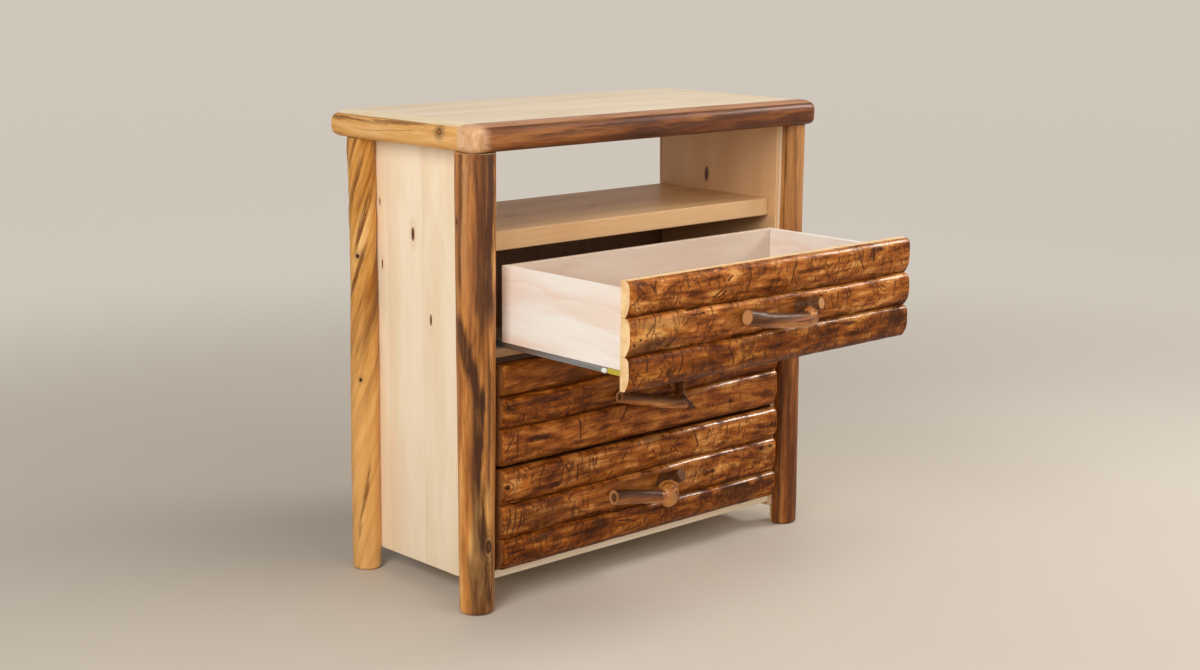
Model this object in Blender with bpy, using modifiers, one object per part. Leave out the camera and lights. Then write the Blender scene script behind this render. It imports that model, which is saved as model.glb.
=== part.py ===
# Log-framed media chest: four peeled log posts carry plank side panels, a plank top edged with half
# logs, an open shelf for media players and three drawers on telescopic runners. The drawer fronts
# are half-log slats with forked twig handles. The upper drawer stands pulled out to its stop.
# Sizes in metres, +Z up, +X to the right and -Y out of the front of the chest.
import math

import bmesh
import bpy
from mathutils import Matrix, Vector

# Fits
SEAT_GAP = 0.0003
RUN_GAP = 0.0004

# Carcass, from the inside outwards
PANEL_SPAN = 0.854
PANEL_THICKNESS = 0.022
CARCASS_FRONT = -0.184
CARCASS_REAR = 0.192
PANEL_FOOT = 0.046
BOTTOM_RISE = 0.010
BOTTOM_THICKNESS = 0.018
BACK_THICKNESS = 0.006
SHELF_THICKNESS = 0.039
SHELF_SETBACK = 0.023
MEDIA_BAY_HEIGHT = 0.170
DIVIDER_HEIGHT = 0.020
DIVIDER_WIDTH = 0.070
BOARD_EDGE = 0.0015

# Log posts
POST_OUTSET = 0.021
POST_FORWARD = 0.006
POST_REAR_INSET = 0.002
POST_RADII = {
    "front_left": (0.0380, 0.0415),
    "front_right": (0.0315, 0.0310),
    "rear_left": (0.0325, 0.0340),
    "rear_right": (0.0335, 0.0350),
}
POST_BEND = 0.0018
POST_SWELL = 0.0012
# Bends up the height across and along the chest, twists of the swellings in radians up the height,
# the three-lobed swelling against the two-lobed one, and the shift in radians from post to post
POST_BEND_TURNS = (0.8, 0.6)
POST_SWELL_TWIST = (3, 5)
POST_LOBE_SHARE = 0.6
POST_PHASE_START = 0.4
POST_PHASE_STEP = 1.7
FOOT_EASE = 0.008
HEAD_EASE = 0.002
NOTCH_REACH = 0.100

# Top
TOP_THICKNESS = 0.028
TOP_REAR_OVERHANG = 0.052
EDGE_LOG_WIDTH = 0.050
EDGE_LOG_HEIGHT = 0.056
SIDE_LOG_OFFSET = 0.013
FRONT_LOG_OFFSET = 0.002
# How square the section is above and below its middle: 2 is round, more is squarer
EDGE_LOG_UPPER_ROUND = 3.2
EDGE_LOG_LOWER_ROUND = 4.5
EDGE_LOG_WAVER = 0.0010
# Radians of waver for each metre of log
FRONT_LOG_WAVES = 9
SIDE_LOG_WAVES = 13
LOG_END_ROUND = 0.026
LOG_REAR_ROUND = 0.010

# Drawer fronts
FRONT_HEIGHT = 0.214
FRONT_REVEAL = 0.0085
FRONT_FLOOR_GAP = 0.005
SHELF_REVEAL = 0.003
FRONT_SIDE_GAP = 0.009
FRONT_STANDOFF = 0.002
SLAT_LOWER_EDGE = 0.019
SLAT_UPPER_EDGE = 0.027
SLAT_CROWN = 0.033
# How the face falls away from the crown to each edge: more is flatter, with a tighter edge
LOWER_FALL_POWER = 2.3
UPPER_FALL_POWER = 3.4
CROWN_SWELL = 0.0015
JOINT_WAVER = 0.0016
# Radians of waver for each metre of slat, and the shifts in radians by level and by slat or joint
CROWN_WAVES = 8
CROWN_PHASES = (1.3, 2.1)
JOINT_WAVES = (7, 19)
JOINT_FINE_SHARE = 0.5
JOINT_PHASES = (2, 3)
SLAT_END_EASE = 0.009
SLAT_END_DROP = 0.006
SHAVED_THICKNESS = 0.029
SHAVED_HALF = 0.125
SHAVED_SLOPE = 0.16
# Heights of the two joints between the slats, at the left and at the right end of each front
SLAT_JOINTS = {
    "lower": ((0.065, 0.061), (0.139, 0.140)),
    "middle": ((0.075, 0.081), (0.146, 0.150)),
    "upper": ((0.069, 0.067), (0.142, 0.138)),
}

# Drawer boxes
BOX_RISE = 0.035
BOX_HEIGHT = 0.158
BOX_WALL = 0.0145
BOX_REAR_SPACE = 0.006
SLIDE_SPACE = 0.025
BOX_FLOOR_RISE = 0.012
BOX_FLOOR_THICKNESS = 0.006
GROOVE_DEPTH = 0.006
BOX_EDGE = 0.0008

# Telescopic runners
RAIL_SHEET = 0.0015
HAT_WIDTH = 0.0094
HAT_HEIGHT = 0.0095
MID_LEG_LIFT = 0.0007
DRAWER_LEG_LIFT = 0.0011
RAIL_FLANGE_HEIGHT = 0.012
RAIL_SETBACK = 0.004
RAIL_REAR_SPACE = 0.006
MID_RAIL_SHORTER = 0.030
DRAWER_TRAVEL = 0.370
OPEN_DRAWERS = ("upper",)

# Twig handles: place along the front, way out from the slat, height and radius of each bar point;
# then the stub's tip, and the place along the front, height and radius of the two feet
HANDLE_SHIFT = -0.028
HANDLES = {
    "upper": {
        "bar": (
            (-0.091, 0.0190, 0.007, 0.0140),
            (-0.045, 0.0255, -0.003, 0.0135),
            (0.000, 0.0300, -0.010, 0.0135),
            (0.045, 0.0345, -0.014, 0.0145),
            (0.083, 0.0370, -0.015, 0.0160),
        ),
        "stub": (0.104, 0.0390, 0.014, 0.0095),
        "feet": ((-0.070, 0.003, 0.0100), (0.087, -0.003, 0.0120)),
    },
    "middle": {
        "bar": (
            (-0.098, 0.0190, -0.006, 0.0130),
            (-0.045, 0.0260, -0.017, 0.0130),
            (0.005, 0.0310, -0.028, 0.0125),
            (0.050, 0.0350, -0.038, 0.0140),
            (0.086, 0.0370, -0.042, 0.0155),
        ),
        "stub": (0.112, 0.0420, -0.058, 0.0090),
        "feet": ((-0.074, -0.008, 0.0100), (0.100, -0.012, 0.0115)),
    },
    "lower": {
        "bar": (
            (-0.100, 0.0205, 0.006, 0.0155),
            (-0.062, 0.0260, 0.002, 0.0135),
            (-0.020, 0.0305, -0.005, 0.0130),
            (0.022, 0.0345, -0.015, 0.0150),
            (0.056, 0.0370, -0.020, 0.0190),
        ),
        "stub": (0.088, 0.0370, 0.021, 0.0105),
        "feet": ((-0.078, 0.003, 0.0105), (0.066, -0.004, 0.0130)),
    },
}
STUB_ROOT = 0.0125
# How far the knob runs on past the bar and how it narrows, as shares of the bar's end radius
KNOB_SHAPE = ((0.55, 0.85), (0.9, 0.45))

# Fineness of the faceting
POST_SIDES = 18
POST_STATIONS = 12
SLAT_STATIONS = 11
SLAT_FACETS = 8
LOG_STATIONS = 12
LOG_FACETS = 10
TWIG_STEPS = 2
TWIG_ROUND_STEPS = 2
FOOT_FACET = 1 / 3
LOG_END_FACETS = (0, 0.12, 0.4)
SLAT_END_FACETS = (0, 0.25)
SHARP_ANGLE = math.radians(40)
WELD_DISTANCE = 0.00001

LEVELS = ("lower", "middle", "upper")
SLATS = ("bottom", "middle", "top")
SIDES = {"left": -1, "right": 1}

# Sizes that follow from those above
panel_inner = PANEL_SPAN / 2
panel_outer = panel_inner + PANEL_THICKNESS
floor_top = PANEL_FOOT + BOTTOM_RISE + BOTTOM_THICKNESS
front_pitch = FRONT_HEIGHT + FRONT_REVEAL
shelf_bottom = floor_top + FRONT_FLOOR_GAP + len(LEVELS) * front_pitch - FRONT_REVEAL + SHELF_REVEAL
shelf_top = shelf_bottom + SHELF_THICKNESS
post_height = shelf_top + MEDIA_BAY_HEIGHT
log_bottom = post_height + SEAT_GAP
top_surface = log_bottom + EDGE_LOG_HEIGHT
top_bottom = top_surface - TOP_THICKNESS
side_log_inner = panel_outer + SIDE_LOG_OFFSET
front_log_inner = CARCASS_FRONT - FRONT_LOG_OFFSET
top_rear = CARCASS_REAR + TOP_REAR_OVERHANG
back_front = CARCASS_REAR - BACK_THICKNESS
front_back = CARCASS_FRONT - FRONT_STANDOFF
front_half = panel_inner - FRONT_SIDE_GAP
shaved_run_out = (SLAT_CROWN - SHAVED_THICKNESS) / SHAVED_SLOPE
box_half = panel_inner - SLIDE_SPACE
box_front = front_back + SEAT_GAP
box_rear = back_front - BOX_REAR_SPACE
mid_step = RUN_GAP + RAIL_SHEET
slide_height = HAT_HEIGHT + 2 * mid_step + SEAT_GAP
rail_front = CARCASS_FRONT + RAIL_SETBACK
rail_rear = back_front - RAIL_REAR_SPACE
hat_centre = SLIDE_SPACE + 2 * mid_step + HAT_WIDTH / 2

# Turns that stand a flat outline up: across X looking along Y, or across Y looking along X
FACING_Y = (math.pi / 2, 0, 0)
FACING_X = (math.pi / 2, 0, math.pi / 2)


def clear_scene():
    for item in list(bpy.data.objects):
        bpy.data.objects.remove(item, do_unlink=True)


def new_collection(name):
    collection = bpy.data.collections.new(name)
    bpy.context.scene.collection.children.link(collection)
    return collection


def finish_material(name, colour, roughness, metallic=0.0):
    material = bpy.data.materials.new(name)
    material.use_nodes = True
    shader = material.node_tree.nodes["Principled BSDF"]
    shader.inputs["Base Color"].default_value = (*colour, 1)
    shader.inputs["Roughness"].default_value = roughness
    shader.inputs["Metallic"].default_value = metallic
    return material


clear_scene()
chest = new_collection("media_chest")
cutters = new_collection("cutters")
peeled_log = finish_material("peeled_log", (0.50, 0.27, 0.09), 0.42)
edge_log = finish_material("edge_log", (0.52, 0.29, 0.11), 0.38)
pale_plank = finish_material("pale_plank", (0.80, 0.63, 0.40), 0.45)
box_board = finish_material("box_board", (0.82, 0.68, 0.54), 0.50)
slat_face = finish_material("slat_face", (0.30, 0.12, 0.035), 0.36)
twig = finish_material("twig", (0.33, 0.15, 0.06), 0.36)
runner_steel = finish_material("runner_steel", (0.42, 0.43, 0.45), 0.35, 1.0)


def add_empty(name, parent, location):
    empty = bpy.data.objects.new(name, None)
    empty.parent = parent
    empty.location = location
    chest.objects.link(empty)
    return empty


def add_object(name, data, material, parent, location=(0, 0, 0), collection=chest):
    item = bpy.data.objects.new(name, data)
    item.parent = parent
    item.location = location
    data.materials.append(material)
    collection.objects.link(item)
    return item


def hide_cutter(item):
    item.hide_render = True
    item.display_type = "WIRE"


def soften(item, width):
    bevel = item.modifiers.new("softened_edges", "BEVEL")
    bevel.width = width
    bevel.segments = 1
    bevel.limit_method = "ANGLE"


def box_mesh(name, low, high):
    size = Vector(high) - Vector(low)
    form = bmesh.new()
    bmesh.ops.create_cube(form, size=1, matrix=Matrix.Diagonal((*size, 1)))
    mesh = bpy.data.meshes.new(name)
    form.to_mesh(mesh)
    form.free()
    return mesh


def board(name, low, high, material, parent, edge=BOARD_EDGE):
    centre = (Vector(low) + Vector(high)) / 2
    item = add_object(name, box_mesh(name, low, high), material, parent, centre)
    soften(item, edge)
    return item


def extruded(name, outline, length, turn, material, parent, location):
    curve = bpy.data.curves.new(name, "CURVE")
    curve.dimensions = "2D"
    curve.fill_mode = "BOTH"
    curve.extrude = length / 2
    spline = curve.splines.new("POLY")
    spline.points.add(len(outline) - 1)
    spline.use_cyclic_u = True
    for point, (across, up) in zip(spline.points, outline):
        point.co = (across, up, 0, 1)
    item = add_object(name, curve, material, parent, location)
    item.rotation_euler = turn
    weld = item.modifiers.new("joined_caps", "WELD")
    weld.merge_threshold = WELD_DISTANCE
    return item


def folded_outline(path, sheet):
    # Both faces of a folded sheet whose middle line is the path, with mitred folds
    normals = []
    for start, end in zip(path, path[1:]):
        run = (Vector(end) - Vector(start)).normalized()
        normals.append(Vector((-run.y, run.x)))
    outer, inner = [], []
    for index, point in enumerate(path):
        before = normals[max(index - 1, 0)]
        after = normals[min(index, len(normals) - 1)]
        mitre = (before + after) / (1 + before.dot(after)) * sheet / 2
        outer.append(Vector(point) + mitre)
        inner.append(Vector(point) - mitre)
    return outer + inner[::-1]


def loft(name, rings, material, parent, location=(0, 0, 0)):
    sides = len(rings[0])
    points = [point for ring in rings for point in ring]
    faces = [tuple(range(sides)), tuple(range(len(points) - sides, len(points)))]
    for start in range(0, len(points) - sides, sides):
        following = start + sides
        for side in range(sides):
            beside = (side + 1) % sides
            faces.append((start + side, start + beside, following + beside, following + side))
    mesh = bpy.data.meshes.new(name)
    mesh.from_pydata(points, [], faces)
    form = bmesh.new()
    form.from_mesh(mesh)
    bmesh.ops.recalc_face_normals(form, faces=form.faces)
    form.to_mesh(mesh)
    form.free()
    mesh.shade_smooth()
    mesh.set_sharp_from_angle(angle=SHARP_ANGLE)
    return add_object(name, mesh, material, parent, location)


def spread(start, end, count):
    return [start + (end - start) * step / (count - 1) for step in range(count)]


# Posts: tapered logs with a slight bend, eased at the foot, notched where the panel's corner sits
def post_ring(height, radii, phase, ease):
    rise = height / post_height
    centre_x = POST_BEND * math.sin(2 * math.pi * POST_BEND_TURNS[0] * rise + phase)
    centre_y = POST_BEND * math.sin(2 * math.pi * POST_BEND_TURNS[1] * rise + 2 * phase)
    radius = radii[0] + (radii[1] - radii[0]) * rise - ease
    ring = []
    for side in range(POST_SIDES):
        turn = 2 * math.pi * side / POST_SIDES
        two_lobes = math.sin(2 * turn + phase + POST_SWELL_TWIST[0] * rise)
        three_lobes = math.sin(3 * turn - phase + POST_SWELL_TWIST[1] * rise)
        reach = radius + POST_SWELL * (two_lobes + POST_LOBE_SHARE * three_lobes)
        ring.append((centre_x + reach * math.cos(turn), centre_y + reach * math.sin(turn), height))
    return ring


def add_post(corner, side, front, phase, parent):
    radii = POST_RADII[corner]
    place_x = side * (panel_outer + POST_OUTSET)
    place_y = CARCASS_FRONT - POST_FORWARD if front else CARCASS_REAR - POST_REAR_INSET
    foot_rise = FOOT_EASE * FOOT_FACET
    rings = [post_ring(0, radii, phase, FOOT_EASE), post_ring(foot_rise, radii, phase, foot_rise)]
    for height in spread(FOOT_EASE, post_height - HEAD_EASE, POST_STATIONS):
        rings.append(post_ring(height, radii, phase, 0))
    rings.append(post_ring(post_height, radii, phase, HEAD_EASE))
    post = loft("post_" + corner, rings, peeled_log, parent, (place_x, place_y, 0))
    notch_outer = side * (panel_outer + SEAT_GAP)
    notch_inner = side * (panel_outer - NOTCH_REACH)
    edge = CARCASS_FRONT - SEAT_GAP if front else CARCASS_REAR + SEAT_GAP
    far_edge = edge + NOTCH_REACH if front else edge - NOTCH_REACH
    low = (min(notch_outer, notch_inner), min(edge, far_edge), -NOTCH_REACH)
    high = (max(notch_outer, notch_inner), max(edge, far_edge), post_height + NOTCH_REACH)
    centre = (Vector(low) + Vector(high)) / 2
    name = corner + "_notch"
    notch = add_object(name, box_mesh(name, low, high), peeled_log, parent, centre, cutters)
    hide_cutter(notch)
    cut = post.modifiers.new("panel_corner", "BOOLEAN")
    cut.operation = "DIFFERENCE"
    cut.solver = "EXACT"
    cut.object = notch


# Top edging: half-round logs, flat where they meet the planks, with rounded ends
def log_section(width, height, waver):
    # From the back's lower corner round the bulging face to the back's upper corner
    points = []
    for step in range(LOG_FACETS + 1):
        turn = -math.pi / 2 + math.pi * step / LOG_FACETS
        power = 2 / (EDGE_LOG_UPPER_ROUND if turn > 0 else EDGE_LOG_LOWER_ROUND)
        out = max(math.cos(turn), 0) ** power
        rise = math.copysign(abs(math.sin(turn)) ** power, math.sin(turn))
        points.append(((width + waver) * out, height / 2 * (1 + rise)))
    return points


def end_draw_in(distance, roundness):
    # How far the bulging face falls back near a rounded end
    if distance >= roundness:
        return 0.0
    return roundness - math.sqrt(max(roundness ** 2 - (roundness - distance) ** 2, 0))


def log_stations(start, end, start_round, end_round):
    near = [start + start_round * share for share in LOG_END_FACETS]
    middle = spread(start + start_round, end - end_round, LOG_STATIONS)
    far = [end - end_round * share for share in reversed(LOG_END_FACETS)]
    return near + middle + far


def add_front_log(parent):
    half = side_log_inner + EDGE_LOG_WIDTH
    rings = []
    for place in log_stations(-half, half, LOG_END_ROUND, LOG_END_ROUND):
        draw_in = end_draw_in(half - abs(place), LOG_END_ROUND)
        waver = EDGE_LOG_WAVER * (math.sin(FRONT_LOG_WAVES * place) - 1) - draw_in
        section = log_section(EDGE_LOG_WIDTH, EDGE_LOG_HEIGHT, waver)
        rings.append([(place, front_log_inner - out, log_bottom + rise) for out, rise in section])
    loft("top_front_log", rings, edge_log, parent)


def add_side_log(name, side, parent):
    front = front_log_inner + SEAT_GAP
    rings = []
    for place in log_stations(front, top_rear, SEAT_GAP, LOG_REAR_ROUND):
        draw_in = end_draw_in(top_rear - place, LOG_REAR_ROUND)
        waver = EDGE_LOG_WAVER * (math.sin(SIDE_LOG_WAVES * place + side) - 1) - draw_in
        section = log_section(EDGE_LOG_WIDTH, EDGE_LOG_HEIGHT, waver)
        rings.append([(side * (side_log_inner + out), place, log_bottom + rise) for out, rise in section])
    loft(name, rings, edge_log, parent)


def add_carcass(parent):
    for number, corner in enumerate(POST_RADII):
        depth, hand = corner.split("_")
        phase = POST_PHASE_START + POST_PHASE_STEP * number
        add_post(corner, SIDES[hand], depth == "front", phase, parent)
    for hand, side in SIDES.items():
        faces = sorted((side * panel_inner, side * panel_outer))
        low = (faces[0], CARCASS_FRONT, PANEL_FOOT)
        high = (faces[1], CARCASS_REAR, top_bottom - SEAT_GAP)
        board("side_panel_" + hand, low, high, pale_plank, parent)
        add_side_log("top_" + hand + "_log", side, parent)
    add_front_log(parent)
    reach = panel_inner - SEAT_GAP
    low = (-reach, CARCASS_FRONT, PANEL_FOOT + BOTTOM_RISE)
    board("bottom_board", low, (reach, back_front - SEAT_GAP, floor_top), pale_plank, parent)
    low = (-reach, CARCASS_FRONT + SHELF_SETBACK, shelf_bottom)
    board("media_shelf", low, (reach, CARCASS_REAR, shelf_top), pale_plank, parent)
    low = (-reach, back_front, PANEL_FOOT)
    board("back_panel", low, (reach, CARCASS_REAR, shelf_bottom - SEAT_GAP), pale_plank, parent, BOX_EDGE)
    top_reach = side_log_inner - SEAT_GAP
    low = (-top_reach, front_log_inner + SEAT_GAP, top_bottom)
    board("top_panel", low, (top_reach, top_rear, top_surface), pale_plank, parent)


# Drawer fronts: half-log slats whose sawn edges follow one wavering joint
def joint_height(level, joint, place):
    if joint == 0:
        return 0.0
    if joint == len(SLATS):
        return FRONT_HEIGHT
    left, right = SLAT_JOINTS[level][joint - 1]
    share = (place + front_half) / (2 * front_half)
    phase = JOINT_PHASES[0] * LEVELS.index(level) + JOINT_PHASES[1] * joint
    broad = math.sin(JOINT_WAVES[0] * place + phase)
    fine = math.sin(JOINT_WAVES[1] * place + 2 * phase)
    return left + (right - left) * share + JOINT_WAVER * (broad + JOINT_FINE_SHARE * fine)


def slat_thickness(level, slat, place, across):
    # across runs from -1 at the lower edge to 1 at the upper edge
    phase = CROWN_PHASES[0] * LEVELS.index(level) + CROWN_PHASES[1] * slat
    crown = SLAT_CROWN + CROWN_SWELL * (math.sin(CROWN_WAVES * place + phase) - 1)
    edge = SLAT_UPPER_EDGE if across > 0 else SLAT_LOWER_EDGE
    power = UPPER_FALL_POWER if across > 0 else LOWER_FALL_POWER
    thickness = crown - (crown - edge) * abs(across) ** power
    if slat == SLATS.index("middle"):
        # Shaved flat where the handle stands, running out at both ends
        past_flat = max(abs(place - HANDLE_SHIFT) - SHAVED_HALF, 0)
        thickness = min(thickness, SHAVED_THICKNESS + SHAVED_SLOPE * past_flat)
    ease = end_draw_in(front_half - abs(place), SLAT_END_EASE) / SLAT_END_EASE
    return thickness - SLAT_END_DROP * ease


def slat_stations(slat):
    end_places = [front_half - SLAT_END_EASE * share for share in SLAT_END_FACETS]
    face_half = front_half - SLAT_END_EASE
    stations = spread(-face_half, face_half, SLAT_STATIONS)
    for side in SIDES.values():
        stations += [side * place for place in end_places]
        if slat == SLATS.index("middle"):
            shaved_ends = (SHAVED_HALF, SHAVED_HALF + shaved_run_out)
            stations += [HANDLE_SHIFT + side * place for place in shaved_ends]
    return sorted(stations)


def add_slat(level, slat, parent):
    rings = []
    for place in slat_stations(slat):
        low = joint_height(level, slat, place) + (SEAT_GAP if slat else 0)
        high = joint_height(level, slat + 1, place) - (SEAT_GAP if slat < len(SLATS) - 1 else 0)
        ring = [(place, 0, high), (place, 0, low)]
        for across in spread(-1, 1, SLAT_FACETS + 1):
            rise = low + (high - low) * (across + 1) / 2
            ring.append((place, -slat_thickness(level, slat, place, across), rise))
        rings.append(ring)
    name = level + "_drawer_slat_" + SLATS[slat]
    loft(name, rings, slat_face, parent, (0, front_back, 0))


# Twig handles: a bar with a knob, a stub and two feet cut flat against the middle slat
def smooth_path(points, steps):
    path = []
    padded = [points[0], *points, points[-1]]
    for index in range(len(points) - 1):
        before, start, end, after = (Vector(point) for point in padded[index:index + 4])
        for step in range(steps):
            share = step / steps
            bend = (end - before) * share + (2 * before - 5 * start + 4 * end - after) * share ** 2
            bend += (3 * start - before - 3 * end + after) * share ** 3
            path.append(start + bend / 2)
    path.append(Vector(points[-1]))
    return path


def tube_mesh(name, points):
    # A tube through points of place, way out, height and radius, as a closed mesh
    curve = bpy.data.curves.new(name, "CURVE")
    curve.dimensions = "3D"
    curve.bevel_depth = 1
    curve.bevel_resolution = TWIG_ROUND_STEPS
    curve.use_fill_caps = True
    spline = curve.splines.new("POLY")
    spline.points.add(len(points) - 1)
    for point, (place, out, height, radius) in zip(spline.points, points):
        point.co = (place, -out, height, 1)
        point.radius = radius
    route = bpy.data.objects.new(name, curve)
    cutters.objects.link(route)
    evaluated = route.evaluated_get(bpy.context.evaluated_depsgraph_get())
    mesh = bpy.data.meshes.new_from_object(evaluated)
    form = bmesh.new()
    form.from_mesh(mesh)
    bmesh.ops.remove_doubles(form, verts=form.verts, dist=WELD_DISTANCE)
    bmesh.ops.recalc_face_normals(form, faces=form.faces)
    form.to_mesh(mesh)
    form.free()
    bpy.data.objects.remove(route, do_unlink=True)
    return mesh


def bar_point_near(bar, place):
    return min(bar, key=lambda point: abs(point[0] - place))


def add_handle(level, parent):
    shape = HANDLES[level]
    name = level + "_drawer_handle"
    middle = SLATS.index("middle")
    low = joint_height(level, middle, HANDLE_SHIFT)
    high = joint_height(level, middle + 1, HANDLE_SHIFT)
    seat_height = (low + high) / 2
    location = (HANDLE_SHIFT, front_back - SHAVED_THICKNESS, seat_height)
    bar = [tuple(point) for point in smooth_path(shape["bar"], TWIG_STEPS)]
    place, out, height, radius = bar[-1]
    for past_end, narrowed in KNOB_SHAPE:
        bar.append((place + radius * past_end, out, height, radius * narrowed))
    handle = add_object(name, tube_mesh(name, bar), twig, parent, location)
    knob = (place, out, height, STUB_ROOT)
    branches = {"_stub": [knob, shape["stub"]]}
    for number, (foot_place, foot_height, foot_radius) in enumerate(shape["feet"]):
        root = bar_point_near(bar, foot_place)
        foot = [(foot_place, out_there, foot_height, foot_radius) for out_there in (root[1] / 2, SEAT_GAP)]
        branches["_foot_" + str(number + 1)] = [(*root[:3], foot_radius), *foot]
    for part, route in branches.items():
        branch = add_object(name + part, tube_mesh(name + part, route), twig, parent, location, cutters)
        hide_cutter(branch)
        union = handle.modifiers.new("grown" + part, "BOOLEAN")
        union.operation = "UNION"
        union.solver = "EXACT"
        union.object = branch


# Drawer boxes: grooved sides and sub-front, a floor that slides in under the back
def add_box(level, parent):
    floor_low = BOX_RISE + BOX_FLOOR_RISE
    groove_low = floor_low - SEAT_GAP
    groove_high = floor_low + BOX_FLOOR_THICKNESS + SEAT_GAP
    box_top = BOX_RISE + BOX_HEIGHT
    groove_wall = BOX_WALL - GROOVE_DEPTH
    outline = [
        (0, BOX_RISE),
        (BOX_WALL, BOX_RISE),
        (BOX_WALL, groove_low),
        (groove_wall, groove_low),
        (groove_wall, groove_high),
        (BOX_WALL, groove_high),
        (BOX_WALL, box_top),
        (0, box_top),
    ]
    name = level + "_drawer_"
    length = box_rear - box_front
    centre_y = (box_front + box_rear) / 2
    for hand, side in SIDES.items():
        placed = [(side * (box_half - across), up) for across, up in outline]
        wall = extruded(name + "side_" + hand, placed, length, FACING_Y, box_board, parent, (0, centre_y, 0))
        soften(wall, BOX_EDGE)
    inner = box_half - BOX_WALL - SEAT_GAP
    front_outline = [(box_front + across, up) for across, up in outline]
    front = extruded(name + "sub_front", front_outline, 2 * inner, FACING_X, box_board, parent, (0, 0, 0))
    soften(front, BOX_EDGE)
    reach = inner + GROOVE_DEPTH
    floor_front = box_front + groove_wall + SEAT_GAP
    low = (-reach, floor_front, floor_low)
    high = (reach, box_rear, floor_low + BOX_FLOOR_THICKNESS)
    board(name + "bottom", low, high, box_board, parent, BOX_EDGE)
    low = (-inner, box_rear - BOX_WALL, floor_low + BOX_FLOOR_THICKNESS + SEAT_GAP)
    board(name + "back", low, (inner, box_rear, box_top), box_board, parent, BOX_EDGE)


# Runners: a hat-shaped cabinet rail, and two channels that run over it one above the other
def hat_path(step, leg_foot):
    half = HAT_WIDTH / 2 - RAIL_SHEET / 2 + step * mid_step
    top = HAT_HEIGHT - RAIL_SHEET / 2 + step * mid_step
    return [(-half, leg_foot), (-half, top), (half, top), (half, leg_foot)]


def add_rail(name, path, side, base, front, rear, parent):
    centre = side * (panel_inner - hat_centre)
    outline = folded_outline([(-side * across, up) for across, up in path], RAIL_SHEET)
    place = (centre, (front + rear) / 2, base)
    extruded(name, outline, rear - front, FACING_Y, runner_steel, parent, place)


def add_runners(level, base, root, mid_slide, drawer_slide):
    floor = RAIL_SHEET / 2
    for hand, side in SIDES.items():
        name = level + "_slide_" + hand
        wall = SEAT_GAP + RAIL_SHEET / 2 - hat_centre
        cabinet = [(wall, RAIL_FLANGE_HEIGHT), (wall, floor), *hat_path(0, floor)]
        add_rail(name + "_cabinet_rail", cabinet, side, base, rail_front, rail_rear, root)
        mid = hat_path(1, RAIL_SHEET + MID_LEG_LIFT)
        mid_rear = rail_rear - MID_RAIL_SHORTER
        slide_rise = base - mid_slide.location.z
        add_rail(name + "_mid_rail", mid, side, slide_rise, rail_front, mid_rear, mid_slide)
        outer = hat_path(2, RAIL_SHEET + DRAWER_LEG_LIFT)
        slide_rise = base - drawer_slide.location.z
        add_rail(name + "_drawer_rail", outer, side, slide_rise, rail_front, rail_rear, drawer_slide)


def add_drawer(level, root):
    number = LEVELS.index(level)
    front_base = floor_top + FRONT_FLOOR_GAP + number * front_pitch
    slide_base = front_base + BOX_RISE - slide_height
    pulled = -DRAWER_TRAVEL if level in OPEN_DRAWERS else 0
    drawer_slide = add_empty(level + "_drawer_slide", root, (0, pulled, front_base))
    mid_slide = add_empty(level + "_mid_slide", root, (0, pulled / 2, front_base))
    for slat in range(len(SLATS)):
        add_slat(level, slat, drawer_slide)
    add_handle(level, drawer_slide)
    add_box(level, drawer_slide)
    add_runners(level, slide_base, root, mid_slide, drawer_slide)
    if number:
        reach = panel_inner - SEAT_GAP
        high = slide_base - SEAT_GAP
        names = {"middle": "divider_rail_lower", "upper": "divider_rail_upper"}
        low = (-reach, CARCASS_FRONT, high - DIVIDER_HEIGHT)
        board(names[level], low, (reach, CARCASS_FRONT + DIVIDER_WIDTH, high), pale_plank, root)


def centre_on_floor(root):
    # The origin lies on the floor, under the middle of the chest as it stands with its drawer out
    bpy.context.view_layer.update()
    graph = bpy.context.evaluated_depsgraph_get()
    points = []
    for item in chest.objects:
        if item.type != "EMPTY":
            shape = item.evaluated_get(graph)
            points += [shape.matrix_world @ vertex.co for vertex in shape.to_mesh().vertices]
            shape.to_mesh_clear()
    for axis in range(2):
        values = [point[axis] for point in points]
        root.location[axis] = -(min(values) + max(values)) / 2


chest_root = add_empty("chest_root", None, (0, 0, 0))
add_carcass(chest_root)
for drawer_level in LEVELS:
    add_drawer(drawer_level, chest_root)
centre_on_floor(chest_root)
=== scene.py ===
# Looks of the log-framed media chest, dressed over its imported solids
import math

import bmesh
import bpy
import numpy as np
from mathutils import Matrix, Vector, noise


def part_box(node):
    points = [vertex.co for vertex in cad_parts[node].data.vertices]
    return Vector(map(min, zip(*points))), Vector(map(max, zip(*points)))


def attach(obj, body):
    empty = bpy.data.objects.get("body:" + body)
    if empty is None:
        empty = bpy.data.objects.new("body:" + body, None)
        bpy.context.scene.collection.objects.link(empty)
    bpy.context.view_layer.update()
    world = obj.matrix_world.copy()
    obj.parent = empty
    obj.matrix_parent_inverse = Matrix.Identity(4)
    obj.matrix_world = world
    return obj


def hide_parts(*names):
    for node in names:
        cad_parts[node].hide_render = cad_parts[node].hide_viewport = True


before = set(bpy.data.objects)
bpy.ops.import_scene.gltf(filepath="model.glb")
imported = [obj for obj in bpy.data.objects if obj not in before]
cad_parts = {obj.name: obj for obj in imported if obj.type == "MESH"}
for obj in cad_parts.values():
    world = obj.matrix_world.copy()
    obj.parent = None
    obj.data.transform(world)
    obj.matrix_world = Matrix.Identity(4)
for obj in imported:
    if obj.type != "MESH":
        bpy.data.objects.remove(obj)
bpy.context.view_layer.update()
print("frame loaded,", len(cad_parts), "nodes")


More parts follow.
